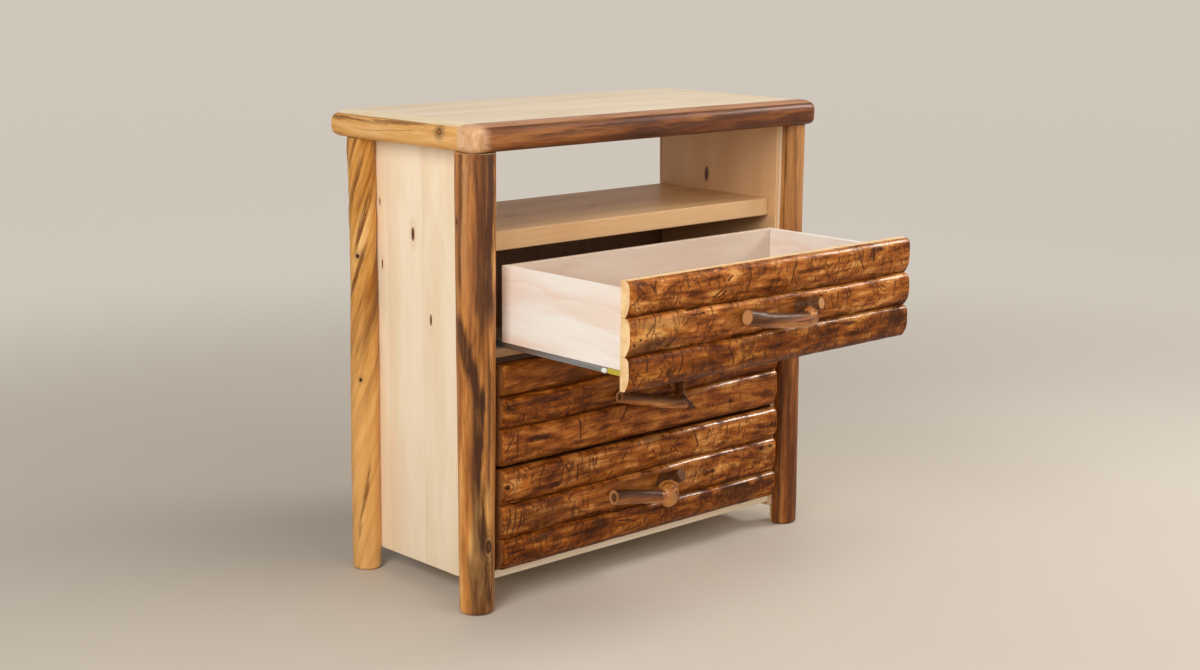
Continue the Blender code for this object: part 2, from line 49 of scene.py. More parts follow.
# Shader tools
class Wire:
    # A socket of one finish; arithmetic on it adds Math nodes
    def __init__(self, finish, socket):
        self.finish = finish
        self.socket = socket

    def __add__(self, other):
        return self.finish.maths("ADD", self, other)

    def __sub__(self, other):
        return self.finish.maths("SUBTRACT", self, other)

    def __mul__(self, other):
        return self.finish.maths("MULTIPLY", self, other)

    def __truediv__(self, other):
        return self.finish.maths("DIVIDE", self, other)

    def __radd__(self, other):
        return self.finish.maths("ADD", other, self)

    def __rsub__(self, other):
        return self.finish.maths("SUBTRACT", other, self)

    def __rmul__(self, other):
        return self.finish.maths("MULTIPLY", other, self)

    def __abs__(self):
        return self.finish.maths("ABSOLUTE", self)


class Finish:
    # One material: a Principled shader and the nodes that feed it
    def __init__(self, name, constants):
        self.material = bpy.data.materials.new(name)
        self.material.use_nodes = True
        self.tree = self.material.node_tree
        self.shader = self.tree.nodes["Principled BSDF"]
        self.set(constants)

    def feed(self, socket, value):
        if isinstance(value, Wire):
            self.tree.links.new(value.socket, socket)
        else:
            socket.default_value = value

    def set(self, values):
        for name, value in values.items():
            self.feed(self.shader.inputs[name], value)

    def add(self, kind, settings, sockets, out=0):
        # One node; out picks its output, and None gives them all
        node = self.tree.nodes.new("ShaderNode" + kind)
        for name, value in settings.items():
            if name == "stops":
                self.setStops(node.color_ramp, value)
            else:
                setattr(node, name, value)
        for name, value in sockets.items():
            self.feed(node.inputs[name], value)
        if out is None:
            return [Wire(self, socket) for socket in node.outputs]
        return Wire(self, node.outputs[out])

    def setStops(self, ramp, stops):
        while len(ramp.elements) < len(stops):
            ramp.elements.new(1.0)
        for element, (place, colour) in zip(ramp.elements, stops):
            element.position = place
            element.color = colour

    def maths(self, operation, *values):
        return self.add("Math", {"operation": operation}, dict(enumerate(values)))

    def vector(self, operation, *values, out=0):
        return self.add("VectorMath", {"operation": operation}, dict(enumerate(values)), out)

    def plus(self, place, other):
        return self.vector("ADD", place, other)

    def times(self, place, other):
        return self.vector("MULTIPLY", place, other)

    def along(self, place, direction):
        return self.vector("DOT_PRODUCT", place, direction, out="Value")

    def scaled(self, value, factor):
        return self.add("VectorMath", {"operation": "SCALE"}, {"Vector": value, "Scale": factor})

    def turned(self, place, axis, angle):
        return self.add("VectorRotate", {}, {"Vector": place, "Axis": axis, "Angle": angle})

    def most(self, total, *others):
        for other in others:
            total = self.maths("MAXIMUM", total, other)
        return total

    def step(self, value, low, high):
        sockets = {"Value": value, "From Min": low, "From Max": high}
        return self.add("MapRange", {"interpolation_type": "SMOOTHSTEP"}, sockets)

    def within(self, value, full, none):
        return 1 - self.step(value, full, none)

    def mix(self, factor, under, over, blend="MIX"):
        settings = {"data_type": "RGBA", "blend_type": blend}
        return self.add("Mix", settings, {0: factor, 6: under, 7: over}, 2)

    def coat(self, mask, over, blend="MIX"):
        # One more layer over the colour so far
        self.colour = self.mix(mask, self.colour, over, blend)

    def noise(self, place, scale, detail=2.0, rough=0.5, out=0):
        sockets = {"Vector": place, "Scale": scale, "Detail": detail, "Roughness": rough}
        return self.add("TexNoise", {}, sockets, out)

    def drift(self, place, scale):
        # A smooth shift that differs from place to place
        return self.vector("SUBTRACT", self.noise(place, scale, out=1), (0.5, 0.5, 0.5))

    def swirled(self, place, scale, amount):
        # The place shifted, so that grain drawn there winds
        return self.plus(place, self.scaled(self.drift(place, scale), amount))

    def ramp(self, value, stops):
        return self.add("ValToRGB", {"stops": stops}, {"Fac": value})

    def rings(self, value):
        return self.maths("SINE", value) * 0.5 + 0.5

    def split(self, place):
        return self.add("SeparateXYZ", {}, {0: place}, None)

    def join(self, *values):
        return self.add("CombineXYZ", {}, dict(enumerate(values)))

    def place(self):
        return self.add("TexCoord", {}, {}, "Object")

    def painted(self, name):
        return self.add("Attribute", {"attribute_name": name}, {}, "Fac")

    def spot(self, place, centre, halves):
        # Distance from a centre, in half sizes; a half size of None spans that whole axis
        scale = tuple(1 / half if half else 0.0 for half in halves)
        return self.vector("LENGTH", self.times(self.vector("SUBTRACT", place, centre), scale), out="Value")

    def cells(self, place, scale):
        # Offset from the nearest point of a loose flat pattern, and three numbers drawn for that point
        sockets = {"Vector": place, "Scale": scale}
        _, colour, point, *_ = self.add("TexVoronoi", {"voronoi_dimensions": "2D"}, sockets, None)
        return self.vector("SUBTRACT", place, point), self.split(colour)

    def bump(self, height, strength, distance):
        return self.add("Bump", {}, {"Height": height, "Strength": strength, "Distance": distance})


def shade(red, green, blue):
    # A screen colour as the linear value that a shader takes
    return tuple(((part / 255 + 0.055) / 1.055) ** 2.4 for part in (red, green, blue)) + (1.0,)


def shades(**colours):
    return {name: shade(*colour) for name, colour in colours.items()}


def tones(*colours):
    # Ramp stops over the range that a noise fills
    places = np.linspace(0.39, 0.62, len(colours))
    return [(float(place), shade(*colour)) for place, colour in zip(places, colours)]


# Mesh tools
spread = np.linspace


def putIn(name, data):
    item = bpy.data.objects.new(name, data)
    bpy.context.scene.collection.objects.link(item)
    return item


def newPiece(name, mesh, materials, body, replaced=()):
    piece = putIn(name, mesh)
    for material in materials:
        mesh.materials.append(material)
    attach(piece, body)
    if replaced:
        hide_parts(*replaced)


def skinMesh(name, rings, sawn=(), sharp=35):
    # Skin over closed rings of equal count; sawn columns and both ends take the second material
    rows, columns, _ = rings.shape
    first = np.arange(rows - 1)[:, None] * columns
    column = np.arange(columns)[None, :]
    beside = (column + 1) % columns
    quads = np.stack([first + column, first + beside, first + columns + beside, first + columns + column], -1)
    faces = [tuple(quad) for quad in quads.reshape(-1, 4).tolist()]
    faces.append(tuple(range(columns)))
    faces.append(tuple(range((rows - 1) * columns, rows * columns)))
    mesh = bpy.data.meshes.new(name)
    mesh.from_pydata(rings.reshape(-1, 3).tolist(), [], faces)
    index = np.zeros((rows - 1, columns), int)
    index[:, list(sawn)] = 1
    mesh.polygons.foreach_set("material_index", np.append(index.ravel(), (1, 1)))
    form = bmesh.new()
    form.from_mesh(mesh)
    bmesh.ops.recalc_face_normals(form, faces=form.faces)
    form.to_mesh(mesh)
    form.free()
    mesh.shade_smooth()
    mesh.set_sharp_from_angle(angle=math.radians(sharp))
    return mesh


def paint(mesh, **layers):
    for name, values in layers.items():
        layer = mesh.attributes.new(name, "FLOAT", "POINT")
        layer.data.foreach_set("value", np.asarray(values, np.float32).ravel())


def wander(points, scales, seed):
    # Smooth noise from 0 to 1 at each point, with its own scale along each axis
    places = np.asarray(points).reshape(-1, 3) * scales + seed
    values = [noise.noise(place) for place in places.tolist()]
    return np.clip(0.5 + 0.5 * np.array(values), 0, 1).reshape(np.asarray(points).shape[:-1])


def smooth(value, low, high):
    share = np.clip((value - low) / (high - low), 0, 1)
    return share * share * (3 - 2 * share)


def stacked(x, y, z):
    # Points from three arrays that broadcast to one shape
    return np.stack(np.broadcast_arrays(x, y, z), -1)


def dress(node, material):
    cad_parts[node].data.materials.clear()
    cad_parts[node].data.materials.append(material)


# Places shared by the pieces, read from the frame
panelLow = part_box("side_panel_left")[0]
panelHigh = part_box("side_panel_right")[1]
chest = {
    "middle": (panelLow.x + panelHigh.x) / 2,
    "front": panelLow.y,
    "rear": panelHigh.y,
    "seatGap": 0.0003,
    "postHead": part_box("post_front_left")[1].z,
    "topSurface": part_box("top_panel")[1].z,
}
drawers = ("lower", "middle", "upper")
hands = {"left": -1, "right": 1}


# Peeled logs: winding streaks, dark bark ribbons and ringed knots under a satin coat
peeledLook = dict(
    satin={"Specular IOR Level": 0.2, "Coat Weight": 0.08, "Coat Roughness": 0.16},
    roughness=0.4, bumpDepth=0.0018, bumpStrength=0.6, knotCore=shade(46, 24, 12),
    swirls=9.0, broad=16.0, streaks=75.0, hairs=900.0, hairShare=0.15,
)


def ribbon(centre, sway, width, span, depth, colour=None, gap=0.45, slope=0):
    # Sway is how far, how often and from which phase, width also how ragged, span from, to and fade;
    # gap is the share that the paler streaks show through
    tone = shade(*colour) if colour else None
    return dict(
        centre=centre, sway=sway, width=width, span=span, depth=depth, tone=tone, gap=gap, slope=slope
    )


def knot(at, halves, **more):
    return dict(at=at, halves=halves, **more)


def ribbonMask(f, side, along, band, streaks):
    # A band that meanders along the grain, with a ragged edge
    low, high, fade = band["span"]
    reach, waves, phase = band["sway"]
    width, ragged = band["width"]
    centre = band["centre"] + band["slope"] * (along - (low + high) / 2)
    sway = f.maths("SINE", along * waves + phase) * reach
    mask = f.within(abs(side - centre - sway + (streaks - 0.5) * ragged), width * 0.3, width)
    return mask * f.step(along, low, low + fade) * f.within(along, high - fade, high) * band["depth"]


def peeledFinish(name, look):
    f = Finish(name, peeledLook["satin"])
    place = f.place()
    along = f.split(place)["xyz".index(look["along"])]
    side = f.painted("around")
    moved = f.join(side - along * look["twist"], 0.0, along) if "twist" in look else place
    moved = f.plus(moved, look["seed"])
    drawn = f.swirled(f.times(moved, look["stretch"]), peeledLook["swirls"], look["swirl"])
    broad = f.noise(drawn, peeledLook["broad"], 3.0, 0.55)
    streaks = f.noise(drawn, peeledLook["streaks"], 5.0, 0.62)
    hairs = f.noise(f.times(drawn, look["hairs"]), peeledLook["hairs"])
    dark = f.step(f.noise(drawn, look["barkScale"], 4.0, 0.6), *look["barkFrom"]) * look["barkDepth"]
    f.colour = f.ramp(broad * 0.56 + streaks * 0.44, look["tones"])
    f.coat(dark, look["bark"])
    height = streaks * 0.5 + hairs * 0.25 - dark * 0.3
    if "calm" in look:
        # Plainer wood over part of the length
        low, high, depth, plain = look["calm"]
        f.coat(f.within(along, low, high) * depth, plain)
    paler = f.step(streaks, 0.44, 0.62)
    for band in look.get("ribbons", ()):
        mask = ribbonMask(f, side, along, band, streaks)
        f.coat(mask * (1 - paler * band["gap"]), band["tone"] or look["bark"])
        height = height - mask * 0.2
    for eye in look.get("knots", ()):
        away = f.spot(place, eye["at"], eye["halves"])
        ragged = away + (streaks - 0.5) * 0.5
        rings = f.rings(away * 11.0 + streaks * 3.0)
        halo = f.within(ragged, 0.9, 2.6) * (0.25 + rings * 0.55) * eye.get("halo", 1.0)
        f.coat(halo, look["bark"])
        f.coat(f.within(ragged, 0.4, 0.95), peeledLook["knotCore"])
        if "disc" in eye:
            f.coat(f.within(ragged, 0.2, 0.6), eye["disc"])
        height = height - f.within(away, 0.4, 1.3) * 0.7
    greys = f.ramp(hairs, tones((80, 80, 80), (190, 190, 190)))
    f.coat(peeledLook["hairShare"], greys, "OVERLAY")
    if "flat" in look:
        # The planed top of the edging
        planed = f.mix(f.step(streaks, 0.42, 0.7), *look["flat"])
        f.coat(f.step(f.painted("flat") + (streaks - 0.5) * 0.25, 0.3, 0.7), planed)
    if "end" in look:
        # Sawn end grain that wraps round the log's rounded end
        lines = f.noise(f.times(place, look["endGrain"]), 1.0, 3.0, 0.6)
        fibre = f.mix(f.step(lines, 0.4, 0.66), *look["end"])
        f.coat(f.step(f.painted("ended") + (streaks - 0.5) * 0.5, 0.1, 0.85), fibre)
    rough = peeledLook["roughness"] + (streaks - 0.5) * 0.3 + dark * 0.05
    normal = f.bump(height, peeledLook["bumpStrength"], peeledLook["bumpDepth"])
    f.set({"Base Color": f.colour, "Roughness": rough, "Normal": normal})
    return f.material


# Sawn ends and edges of logs: pale end grain with faint rings
sawnLook = dict(
    shades(pale=(240, 206, 154), tan=(208, 158, 102), dust=(248, 222, 180)),
    fibres=(70.0, 520.0, 60.0), swirls=18.0, swirl=0.006, clouds=30.0, bump=(0.35, 0.0008),
)


def sawnFinish(name, look):
    f = Finish(name, {"Specular IOR Level": 0.35})
    place = f.swirled(f.place(), look["swirls"], look["swirl"])
    fibres = f.noise(f.times(place, look["fibres"]), 1.0, 4.0, 0.65)
    cloud = f.noise(place, look["clouds"], 3.0, 0.55)
    f.colour = f.mix(f.step(cloud, 0.4, 0.72) * 0.6, look["pale"], look["tan"])
    f.coat(f.step(fibres, 0.5, 0.72) * 0.55, look["tan"])
    f.coat(f.within(fibres, 0.3, 0.46) * 0.6, look["dust"])
    normal = f.bump(fibres, *look["bump"])
    f.set({"Base Color": f.colour, "Roughness": 0.52 + fibres * 0.2, "Normal": normal})
    return f.material


# Planks: glued boards with growth rings, fine grain and a few knots
def plankFinish(name, look):
    satin = {"Specular IOR Level": look["spec"], "Coat Weight": look["coat"], "Coat Roughness": 0.16}
    f = Finish(name, satin)
    place = f.place()
    axes = dict(zip("xyz", f.split(place)))
    along, across, deep = (axes[letter] for letter in look["axes"])
    boards = (across + look["shift"]) / look["board"]
    number = f.maths("FLOOR", boards)
    inBoard = boards - number
    drawnLot = f.add("TexWhiteNoise", {"noise_dimensions": "1D"}, {"W": number + look["seed"]}, "Color")
    chance = f.split(drawnLot)
    fromHeart = (inBoard - 0.5 + (chance[0] - 0.5) * 0.9) * look["board"]
    below = deep + 0.03 + chance[1] * 0.05
    sway = f.noise(f.join(along * 1.6, across * 4.0, chance[2] * 9.0), 1.6, 3.0, 0.5) - 0.5
    knots = [f.spot(place, eye["at"], eye["halves"]) for eye in look.get("knots", ())]
    for away in knots:
        sway = sway + f.within(away, 0.0, 3.4) * 0.25
    reach = f.maths("SQRT", fromHeart * fromHeart + below * below) + sway * look["wave"]
    ring = f.maths("FRACT", reach * look["rings"])
    late = ring * f.within(ring, 0.82, 1.0)
    fine = f.noise(f.join(along * 9.0, across * 330.0, deep * 330.0), 1.0, 3.0, 0.6)
    cloud = f.noise(f.join(along * 2.2, across * 14.0, chance[0] * 5.0), 1.0, 3.0, 0.55)
    f.colour = f.mix(f.step(cloud, 0.34, 0.7), look["pale"], look["warm"])
    f.coat(late * look["contrast"] * f.step(cloud, 0.25, 0.6), look["late"])
    f.coat(f.step(fine, 0.46, 0.78) * look["fine"], look["late"])
    f.coat(chance[1] * look["boards"], look["warm"])
    seam = f.step(abs(inBoard - 0.5), 0.5 - look["seam"] / look["board"], 0.5)
    f.coat(seam * 0.22, look["knot"])
    height = fine * 0.5 + late * 0.3 - seam * 0.6
    for away in knots:
        ragged = away + (fine - 0.5) * 0.5
        f.coat(f.within(ragged, 0.9, 2.2) * 0.5, look["late"])
        f.coat(f.within(ragged, 1.0, 1.25) * f.step(ragged, 0.75, 1.0) * 0.6, look["pale"])
        f.coat(f.within(ragged, 0.55, 0.95), look["knot"])
        height = height - f.within(away, 0.5, 1.0) * 0.8
    if "bayShade" in look:
        # Painted shade: the side that looks into the bay is multiplied darker and warmer
        outer, inner, depth, bayShade = look["bayShade"]
        f.coat(f.step(deep, outer, inner) * depth, bayShade, "MULTIPLY")
    rough = look["roughness"] + fine * 0.14
    f.set({"Base Color": f.colour, "Roughness": rough, "Normal": f.bump(height, *look["bump"])})
    return f.material


paleLook = dict(
    shades(pale=(246, 230, 204), warm=(239, 218, 185), late=(226, 188, 144), knot=(98, 50, 24)),
    axes="zyx", board=0.118, shift=0.03, seed=3.0, rings=75.0, wave=0.035, contrast=0.3, fine=0.32,
    boards=0.16, seam=0.0008, spec=0.5, coat=0.1, roughness=0.36, bump=(0.22, 0.0008),
)
lengthwise = dict(paleLook, axes="xyz", shift=0.011, seed=11.0)
topLook = dict(
    lengthwise, board=0.108, spec=0.3, coat=0.05, roughness=0.42,
    **shades(pale=(233, 215, 190), warm=(225, 204, 175), late=(209, 181, 143)),
)
shelfLook = dict(
    lengthwise, seed=17.0, spec=0.3, coat=0.06, roughness=0.4,
    **shades(pale=(220, 180, 132), warm=(203, 160, 112), late=(186, 138, 90)),
)
boxLook = dict(
    paleLook, board=0.6, shift=0.17, rings=30.0, wave=0.11, contrast=0.48, fine=0.2, boards=0.0, seam=0.0,
    coat=0.0, roughness=0.46,
    **shades(pale=(239, 233, 225), warm=(233, 216, 202), late=(224, 188, 162), knot=(150, 104, 72)),
)
# Divider rails: the plank wood in browner, darker tones, painted shade for where they sit between the drawers
railShadeLook = dict(lengthwise, **shades(pale=(196, 150, 100), warm=(184, 136, 88), late=(160, 110, 64)))
hardboardLook = dict(
    boxLook, contrast=0.1, fine=0.3,
    **shades(pale=(140, 102, 70), warm=(126, 88, 58), late=(100, 66, 40)),
)
# Inside the drawer box: the box wood in darker tones, painted shade
innerShadeLook = dict(boxLook, **shades(pale=(213, 195, 178), warm=(204, 182, 162), late=(193, 156, 131)))
panelKnots = [
    knot((panelLow.x, 0.238, 0.758), (None, 0.0075, 0.02)),
    knot((panelLow.x, 0.18, 0.584), (None, 0.0046, 0.016)),
    knot((panelLow.x, 0.352, 0.815), (None, 0.003, 0.011)),
    knot((panelLow.x, 0.346, 0.681), (None, 0.0028, 0.014)),
]
innerKnots = [knot((0.428, 0.236, 0.818), (None, 0.0085, 0.024))]
shelfKnots = [
    knot((0.083, 0.342, 0.78), (0.016, 0.0035, None)),
    knot((0.034, 0.208, 0.78), (0.015, 0.0045, None)),
    knot((-0.219, 0.193, 0.78), (0.018, 0.0042, None)),
]


def dressBoards():
    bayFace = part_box("side_panel_right")[0].x
    # Painted shade on the right panel's bay face, darker and warmer than its outside
    bayShade = (bayFace + 0.012, bayFace + 0.006, 1.0, shade(226, 196, 164))
    looks = {
        "panelLeft": (dict(paleLook, knots=panelKnots), ["side_panel_left"]),
        "panelRight": (dict(paleLook, seed=21.0, knots=innerKnots, bayShade=bayShade), ["side_panel_right"]),
        "topPlanks": (topLook, ["top_panel"]),
        "shelfPlanks": (dict(shelfLook, knots=shelfKnots), ["media_shelf"]),
        "bottomPlank": (dict(lengthwise, seed=29.0), ["bottom_board"]),
        "dividerPlank": (dict(railShadeLook, seed=31.0), ["divider_rail_upper", "divider_rail_lower"]),
        "backBoard": (dict(hardboardLook, axes="zxy", seed=37.0), ["back_panel"]),
    }
    boxes = {
        "boxSide": (dict(boxLook, axes="yzx"), ("side_left", "side_right")),
        "boxAcross": (dict(innerShadeLook, axes="xzy", seed=41.0), ("back", "sub_front")),
        "boxFloor": (dict(innerShadeLook, axes="xyz", seed=43.0), ("bottom",)),
    }
    for name, (look, parts) in boxes.items():
        looks[name] = look, [level + "_drawer_" + part for level in drawers for part in parts]
    for name, (look, nodes) in looks.items():
        material = plankFinish(name, look)
        for node in nodes:
            dress(node, material)


dressBoards()
print("boards dressed")


# Zinc plated runners, with a yellow plated catch and a nylon tip at the front of each drawer rail
runnerLook = shades(
    zinc=(176, 180, 186), dull=(150, 154, 160), yellow=(222, 200, 66), green=(190, 176, 60),
    nylon=(240, 238, 230), shadow=(214, 212, 204),
)
catchShape = dict(
    length=0.044, sheet=0.0009, flange=0.006, fold=0.0012, lift=0.0004, seat=0.0001,
    bendSteps=5, stations=9, tipSides=24, tipSharp=50,
    tipWide=0.0042, tipTall=0.005, tipLength=0.012, tipSink=0.0002,
    tipShares=(0.0, 0.06, 0.2, 0.5, 0.8, 0.94, 1.0),
    tipSwell=(0.62, 0.85, 0.97, 1.0, 0.97, 0.85, 0.62),
)


def steelFinish():
    f = Finish("runnerSteel", {"Metallic": 1.0})
    drawn = f.noise(f.times(f.place(), (900.0, 5.0, 900.0)), 1.0)
    colour = f.mix(f.step(drawn, 0.35, 0.7), runnerLook["zinc"], runnerLook["dull"])
    f.set({"Base Color": colour, "Roughness": 0.36 + drawn * 0.12, "Normal": f.bump(drawn, 0.1, 0.0003)})
    return f.material


def cloudedFinish(name, constants, scale, bright, dark, rough, rougher):
    f = Finish(name, constants)
    cloud = f.noise(f.place(), scale)
    colour = f.mix(cloud, runnerLook[bright], runnerLook[dark])
    f.set({"Base Color": colour, "Roughness": rough + cloud * rougher})
    return f.material


def buildCatch(level, hand, plate, nylon):
    # A folded plate down the rail's outer side, with the round tip behind it
    shape = catchShape
    rail = level + "_slide_" + hand
    body = level + "_drawer"
    low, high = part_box(rail + "_drawer_rail")
    side = hands[hand]
    outer = low.x if side < 0 else high.x
    sheet = shape["sheet"]
    fold = shape["fold"]
    turns = spread(0, math.pi / 2, shape["bendSteps"])
    bend = [(sheet + fold * (math.sin(turn) - 1), high.z + fold * (math.cos(turn) - 1)) for turn in turns]
    foot = low.z + shape["lift"]
    seat = shape["seat"]
    path = [(-shape["flange"], high.z), *bend, (sheet, foot), (seat, foot), (seat, high.z - fold)]
    stations = spread(low.y, low.y + shape["length"], shape["stations"])
    rings = np.array([[(outer + side * out, y, z) for out, z in path] for y in stations])
    newPiece(rail + "_catch", skinMesh(rail + "Catch", rings), [plate, plate], body)
    around = spread(0, 2 * math.pi, shape["tipSides"] + 1)[:-1]
    centre = outer + side * (shape["tipWide"] - shape["tipSink"])
    middle = (low.z + high.z) / 2
    rings = []
    for share, swell in zip(shape["tipShares"], shape["tipSwell"]):
        y = stations[-1] + shape["tipLength"] * share
        wide = shape["tipWide"] * swell
        tall = shape["tipTall"] * swell
        rings.append([(centre + wide * math.cos(turn), y, middle + tall * math.sin(turn)) for turn in around])
    mesh = skinMesh(rail + "Tip", np.array(rings), (), shape["tipSharp"])
    newPiece(rail + "_tip", mesh, [nylon, nylon], body)


def dressRunners():
    steel = steelFinish()
    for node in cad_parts:
        if "_slide_" in node and node.endswith("_rail"):
            dress(node, steel)
    plate = cloudedFinish("yellowPlate", {"Metallic": 0.55}, 160.0, "yellow", "green", 0.28, 0.15)
    nylon = cloudedFinish("nylonTip", {"Subsurface Weight": 0.1}, 240.0, "nylon", "shadow", 0.35, 0.1)
    for level in drawers:
        for hand in hands:
            buildCatch(level, hand, plate, nylon)


dressRunners()
print("runners dressed")


# Posts: tapered logs, notched for the corner of the side panel
postShape = dict(
    outset=0.021, forward=0.006, rearInset=0.002,
    radii={
        "front_left": (0.038, 0.0415), "front_right": (0.0315, 0.031),
        "rear_left": (0.0325, 0.034), "rear_right": (0.0335, 0.035),
    },
    bend=0.0018, bendTurns=(0.8, 0.6), swell=0.0012, twist=(3, 5), lobes=0.6,
    phaseStart=0.4, phaseStep=1.7, footEase=0.008, rows=220, around=120, notchSteps=5,
    fluteDepth=0.0008, flutes=(85, 85, 2.6), lumpDepth=0.0012, lumps=(28, 28, 9),
    twistDepth=0.0036, ridges=(60, 1, 8), ridgelets=(110, 1, 14), ridgeRise=(0.45, 0.7),
    knotDent=0.0014, dentWidth=0.45, dentTall=1.5, planedFrom=0.2, footRows=9, footShare=0.9,
    notchTries=6, notchGuess=(0.9, 0.1), ridgeGain=1.6, ridgeShares=(0.7, 0.3), ridgeLeast=0.25, sharp=50,
)


def swingFrom(turn, facing, notch):
    # Angle from the side that faces the viewer; it jumps only inside the notch
    full = 2 * math.pi
    return (turn - notch) % full - (math.radians(facing) - notch) % full


def postReach(turn, heights, corner, phase, notch, look):
    # Distance of the log's skin from its heart line, at each height and way round
    shape = postShape
    foot, head = shape["radii"][corner]
    rise = heights / chest["postHead"]
    ease = np.zeros_like(heights)
    low = heights < shape["footEase"]
    left = 1 - heights[low] / shape["footEase"]
    ease[low] = shape["footEase"] * (1 - np.sqrt(1 - left ** 2)) * shape["footShare"]
    reach = foot + (head - foot) * rise - ease
    two = np.sin(2 * turn + phase + shape["twist"][0] * rise)
    three = np.sin(3 * turn - phase + shape["twist"][1] * rise)
    reach = reach + shape["swell"] * (two + shape["lobes"] * three)
    skin = stacked(np.cos(turn) * foot, np.sin(turn) * foot, heights)
    flutes = wander(skin, shape["flutes"], (phase * 7, 3, 1))
    lumps = wander(skin, shape["lumps"], (phase * 5, 8, 2))
    reach = reach - flutes * shape["fluteDepth"] - lumps * shape["lumpDepth"]
    if "twist" in look:
        # Twisted grain stands out as slanting ridges, most in the upper half
        swing = swingFrom(turn, look["facing"], notch) * foot
        slant = stacked(swing - look["twist"] * heights, 0, heights)
        ridges = np.abs(wander(slant, shape["ridges"], (phase, 4, 6)) * 2 - 1)
        ridgelets = wander(slant, shape["ridgelets"], (phase, 2, 9))
        broad, fine = shape["ridgeShares"]
        ridges = np.minimum(ridges * shape["ridgeGain"], 1) * broad + ridgelets * fine
        proud = shape["ridgeLeast"] + (1 - shape["ridgeLeast"]) * smooth(heights, *shape["ridgeRise"])
        reach = reach - (1 - ridges) * shape["twistDepth"] * proud
    if "plane" in look:
        # One side is planed flat
        facing, share = look["plane"]
        slope = np.cos(turn - math.radians(facing))
        flat = share * (foot + (head - foot) * rise) / np.maximum(slope, shape["planedFrom"])
        reach = np.where(slope > shape["planedFrom"], np.minimum(reach, flat), reach)
    for facing, height, size in look["dents"]:
        apart = np.angle(np.exp(1j * (turn - math.radians(facing)))) * foot
        away = np.sqrt((apart / size) ** 2 + ((heights - height) / (shape["dentTall"] * size)) ** 2)
        reach = reach - shape["knotDent"] * np.exp(-((away - 1) / shape["dentWidth"]) ** 2)
    return reach


def buildPost(corner, number, look, materials):
    shape = postShape
    depth, hand = corner.split("_")
    inward = -hands[hand]
    inside = 1 if depth == "front" else -1
    notch = math.atan2(inside, inward)
    phase = shape["phaseStart"] + shape["phaseStep"] * number
    centreX = (panelLow.x if hand == "left" else panelHigh.x) - inward * shape["outset"]
    if depth == "front":
        centreY = chest["front"] - shape["forward"]
        notchY = shape["forward"] - chest["seatGap"]
    else:
        centreY = chest["rear"] - shape["rearInset"]
        notchY = -shape["rearInset"] - chest["seatGap"]
    notchX = shape["outset"] - chest["seatGap"]
    footRows = spread(0, shape["footEase"], shape["footRows"])
    bodyRows = spread(shape["footEase"], chest["postHead"], shape["rows"])[1:]
    heights = np.concatenate([footRows, bodyRows])[:, None]

    def skinReach(angle):
        turn = np.arctan2(inside * np.sin(angle), inward * np.cos(angle))
        return turn, postReach(turn, heights + 0 * turn, corner, phase, notch, look)

    # The bend shifts the heart line, so the notch lies nearer to it or further away
    rise = heights / chest["postHead"]
    bendX = shape["bend"] * np.sin(2 * math.pi * shape["bendTurns"][0] * rise + phase)
    bendY = shape["bend"] * np.sin(2 * math.pi * shape["bendTurns"][1] * rise + 2 * phase)
    start, end = (np.full_like(heights, guess) for guess in shape["notchGuess"])
    for _ in range(shape["notchTries"]):
        start = np.arccos(np.clip((notchX - inward * bendX) / skinReach(start)[1], -1, 1))
        end = np.arcsin(np.clip((notchY - inside * bendY) / skinReach(end)[1], -1, 1))
    turn, reach = skinReach(start + (end + 2 * math.pi - start) * spread(0, 1, shape["around"])[None, :])
    # Round the log, then along the notch's two walls by way of its inner corner
    steps = spread(0, 1, shape["notchSteps"] + 1)[None, 1:]

    def outline(bend, way, cornerAt, centre):
        arc = bend + reach * way
        inTo = arc[:, -1:] + (cornerAt - arc[:, -1:]) * steps
        outTo = cornerAt + (arc[:, :1] - cornerAt) * steps[:, :-1]
        return np.concatenate([arc, inTo, outTo], 1) + centre

    ringX = outline(bendX, np.cos(turn), inward * notchX, centreX)
    rings = stacked(ringX, outline(bendY, np.sin(turn), inside * notchY, centreY), heights)
    mesh = skinMesh("post_" + corner, rings, range(shape["around"] - 1, rings.shape[1]), shape["sharp"])
    around = np.zeros(ringX.shape)
    around[:, :shape["around"]] = swingFrom(turn, look["facing"], notch) * shape["radii"][corner][0]
    paint(mesh, around=around)
    newPiece("post_" + corner + "_log", mesh, materials, "carcass", ["post_" + corner])


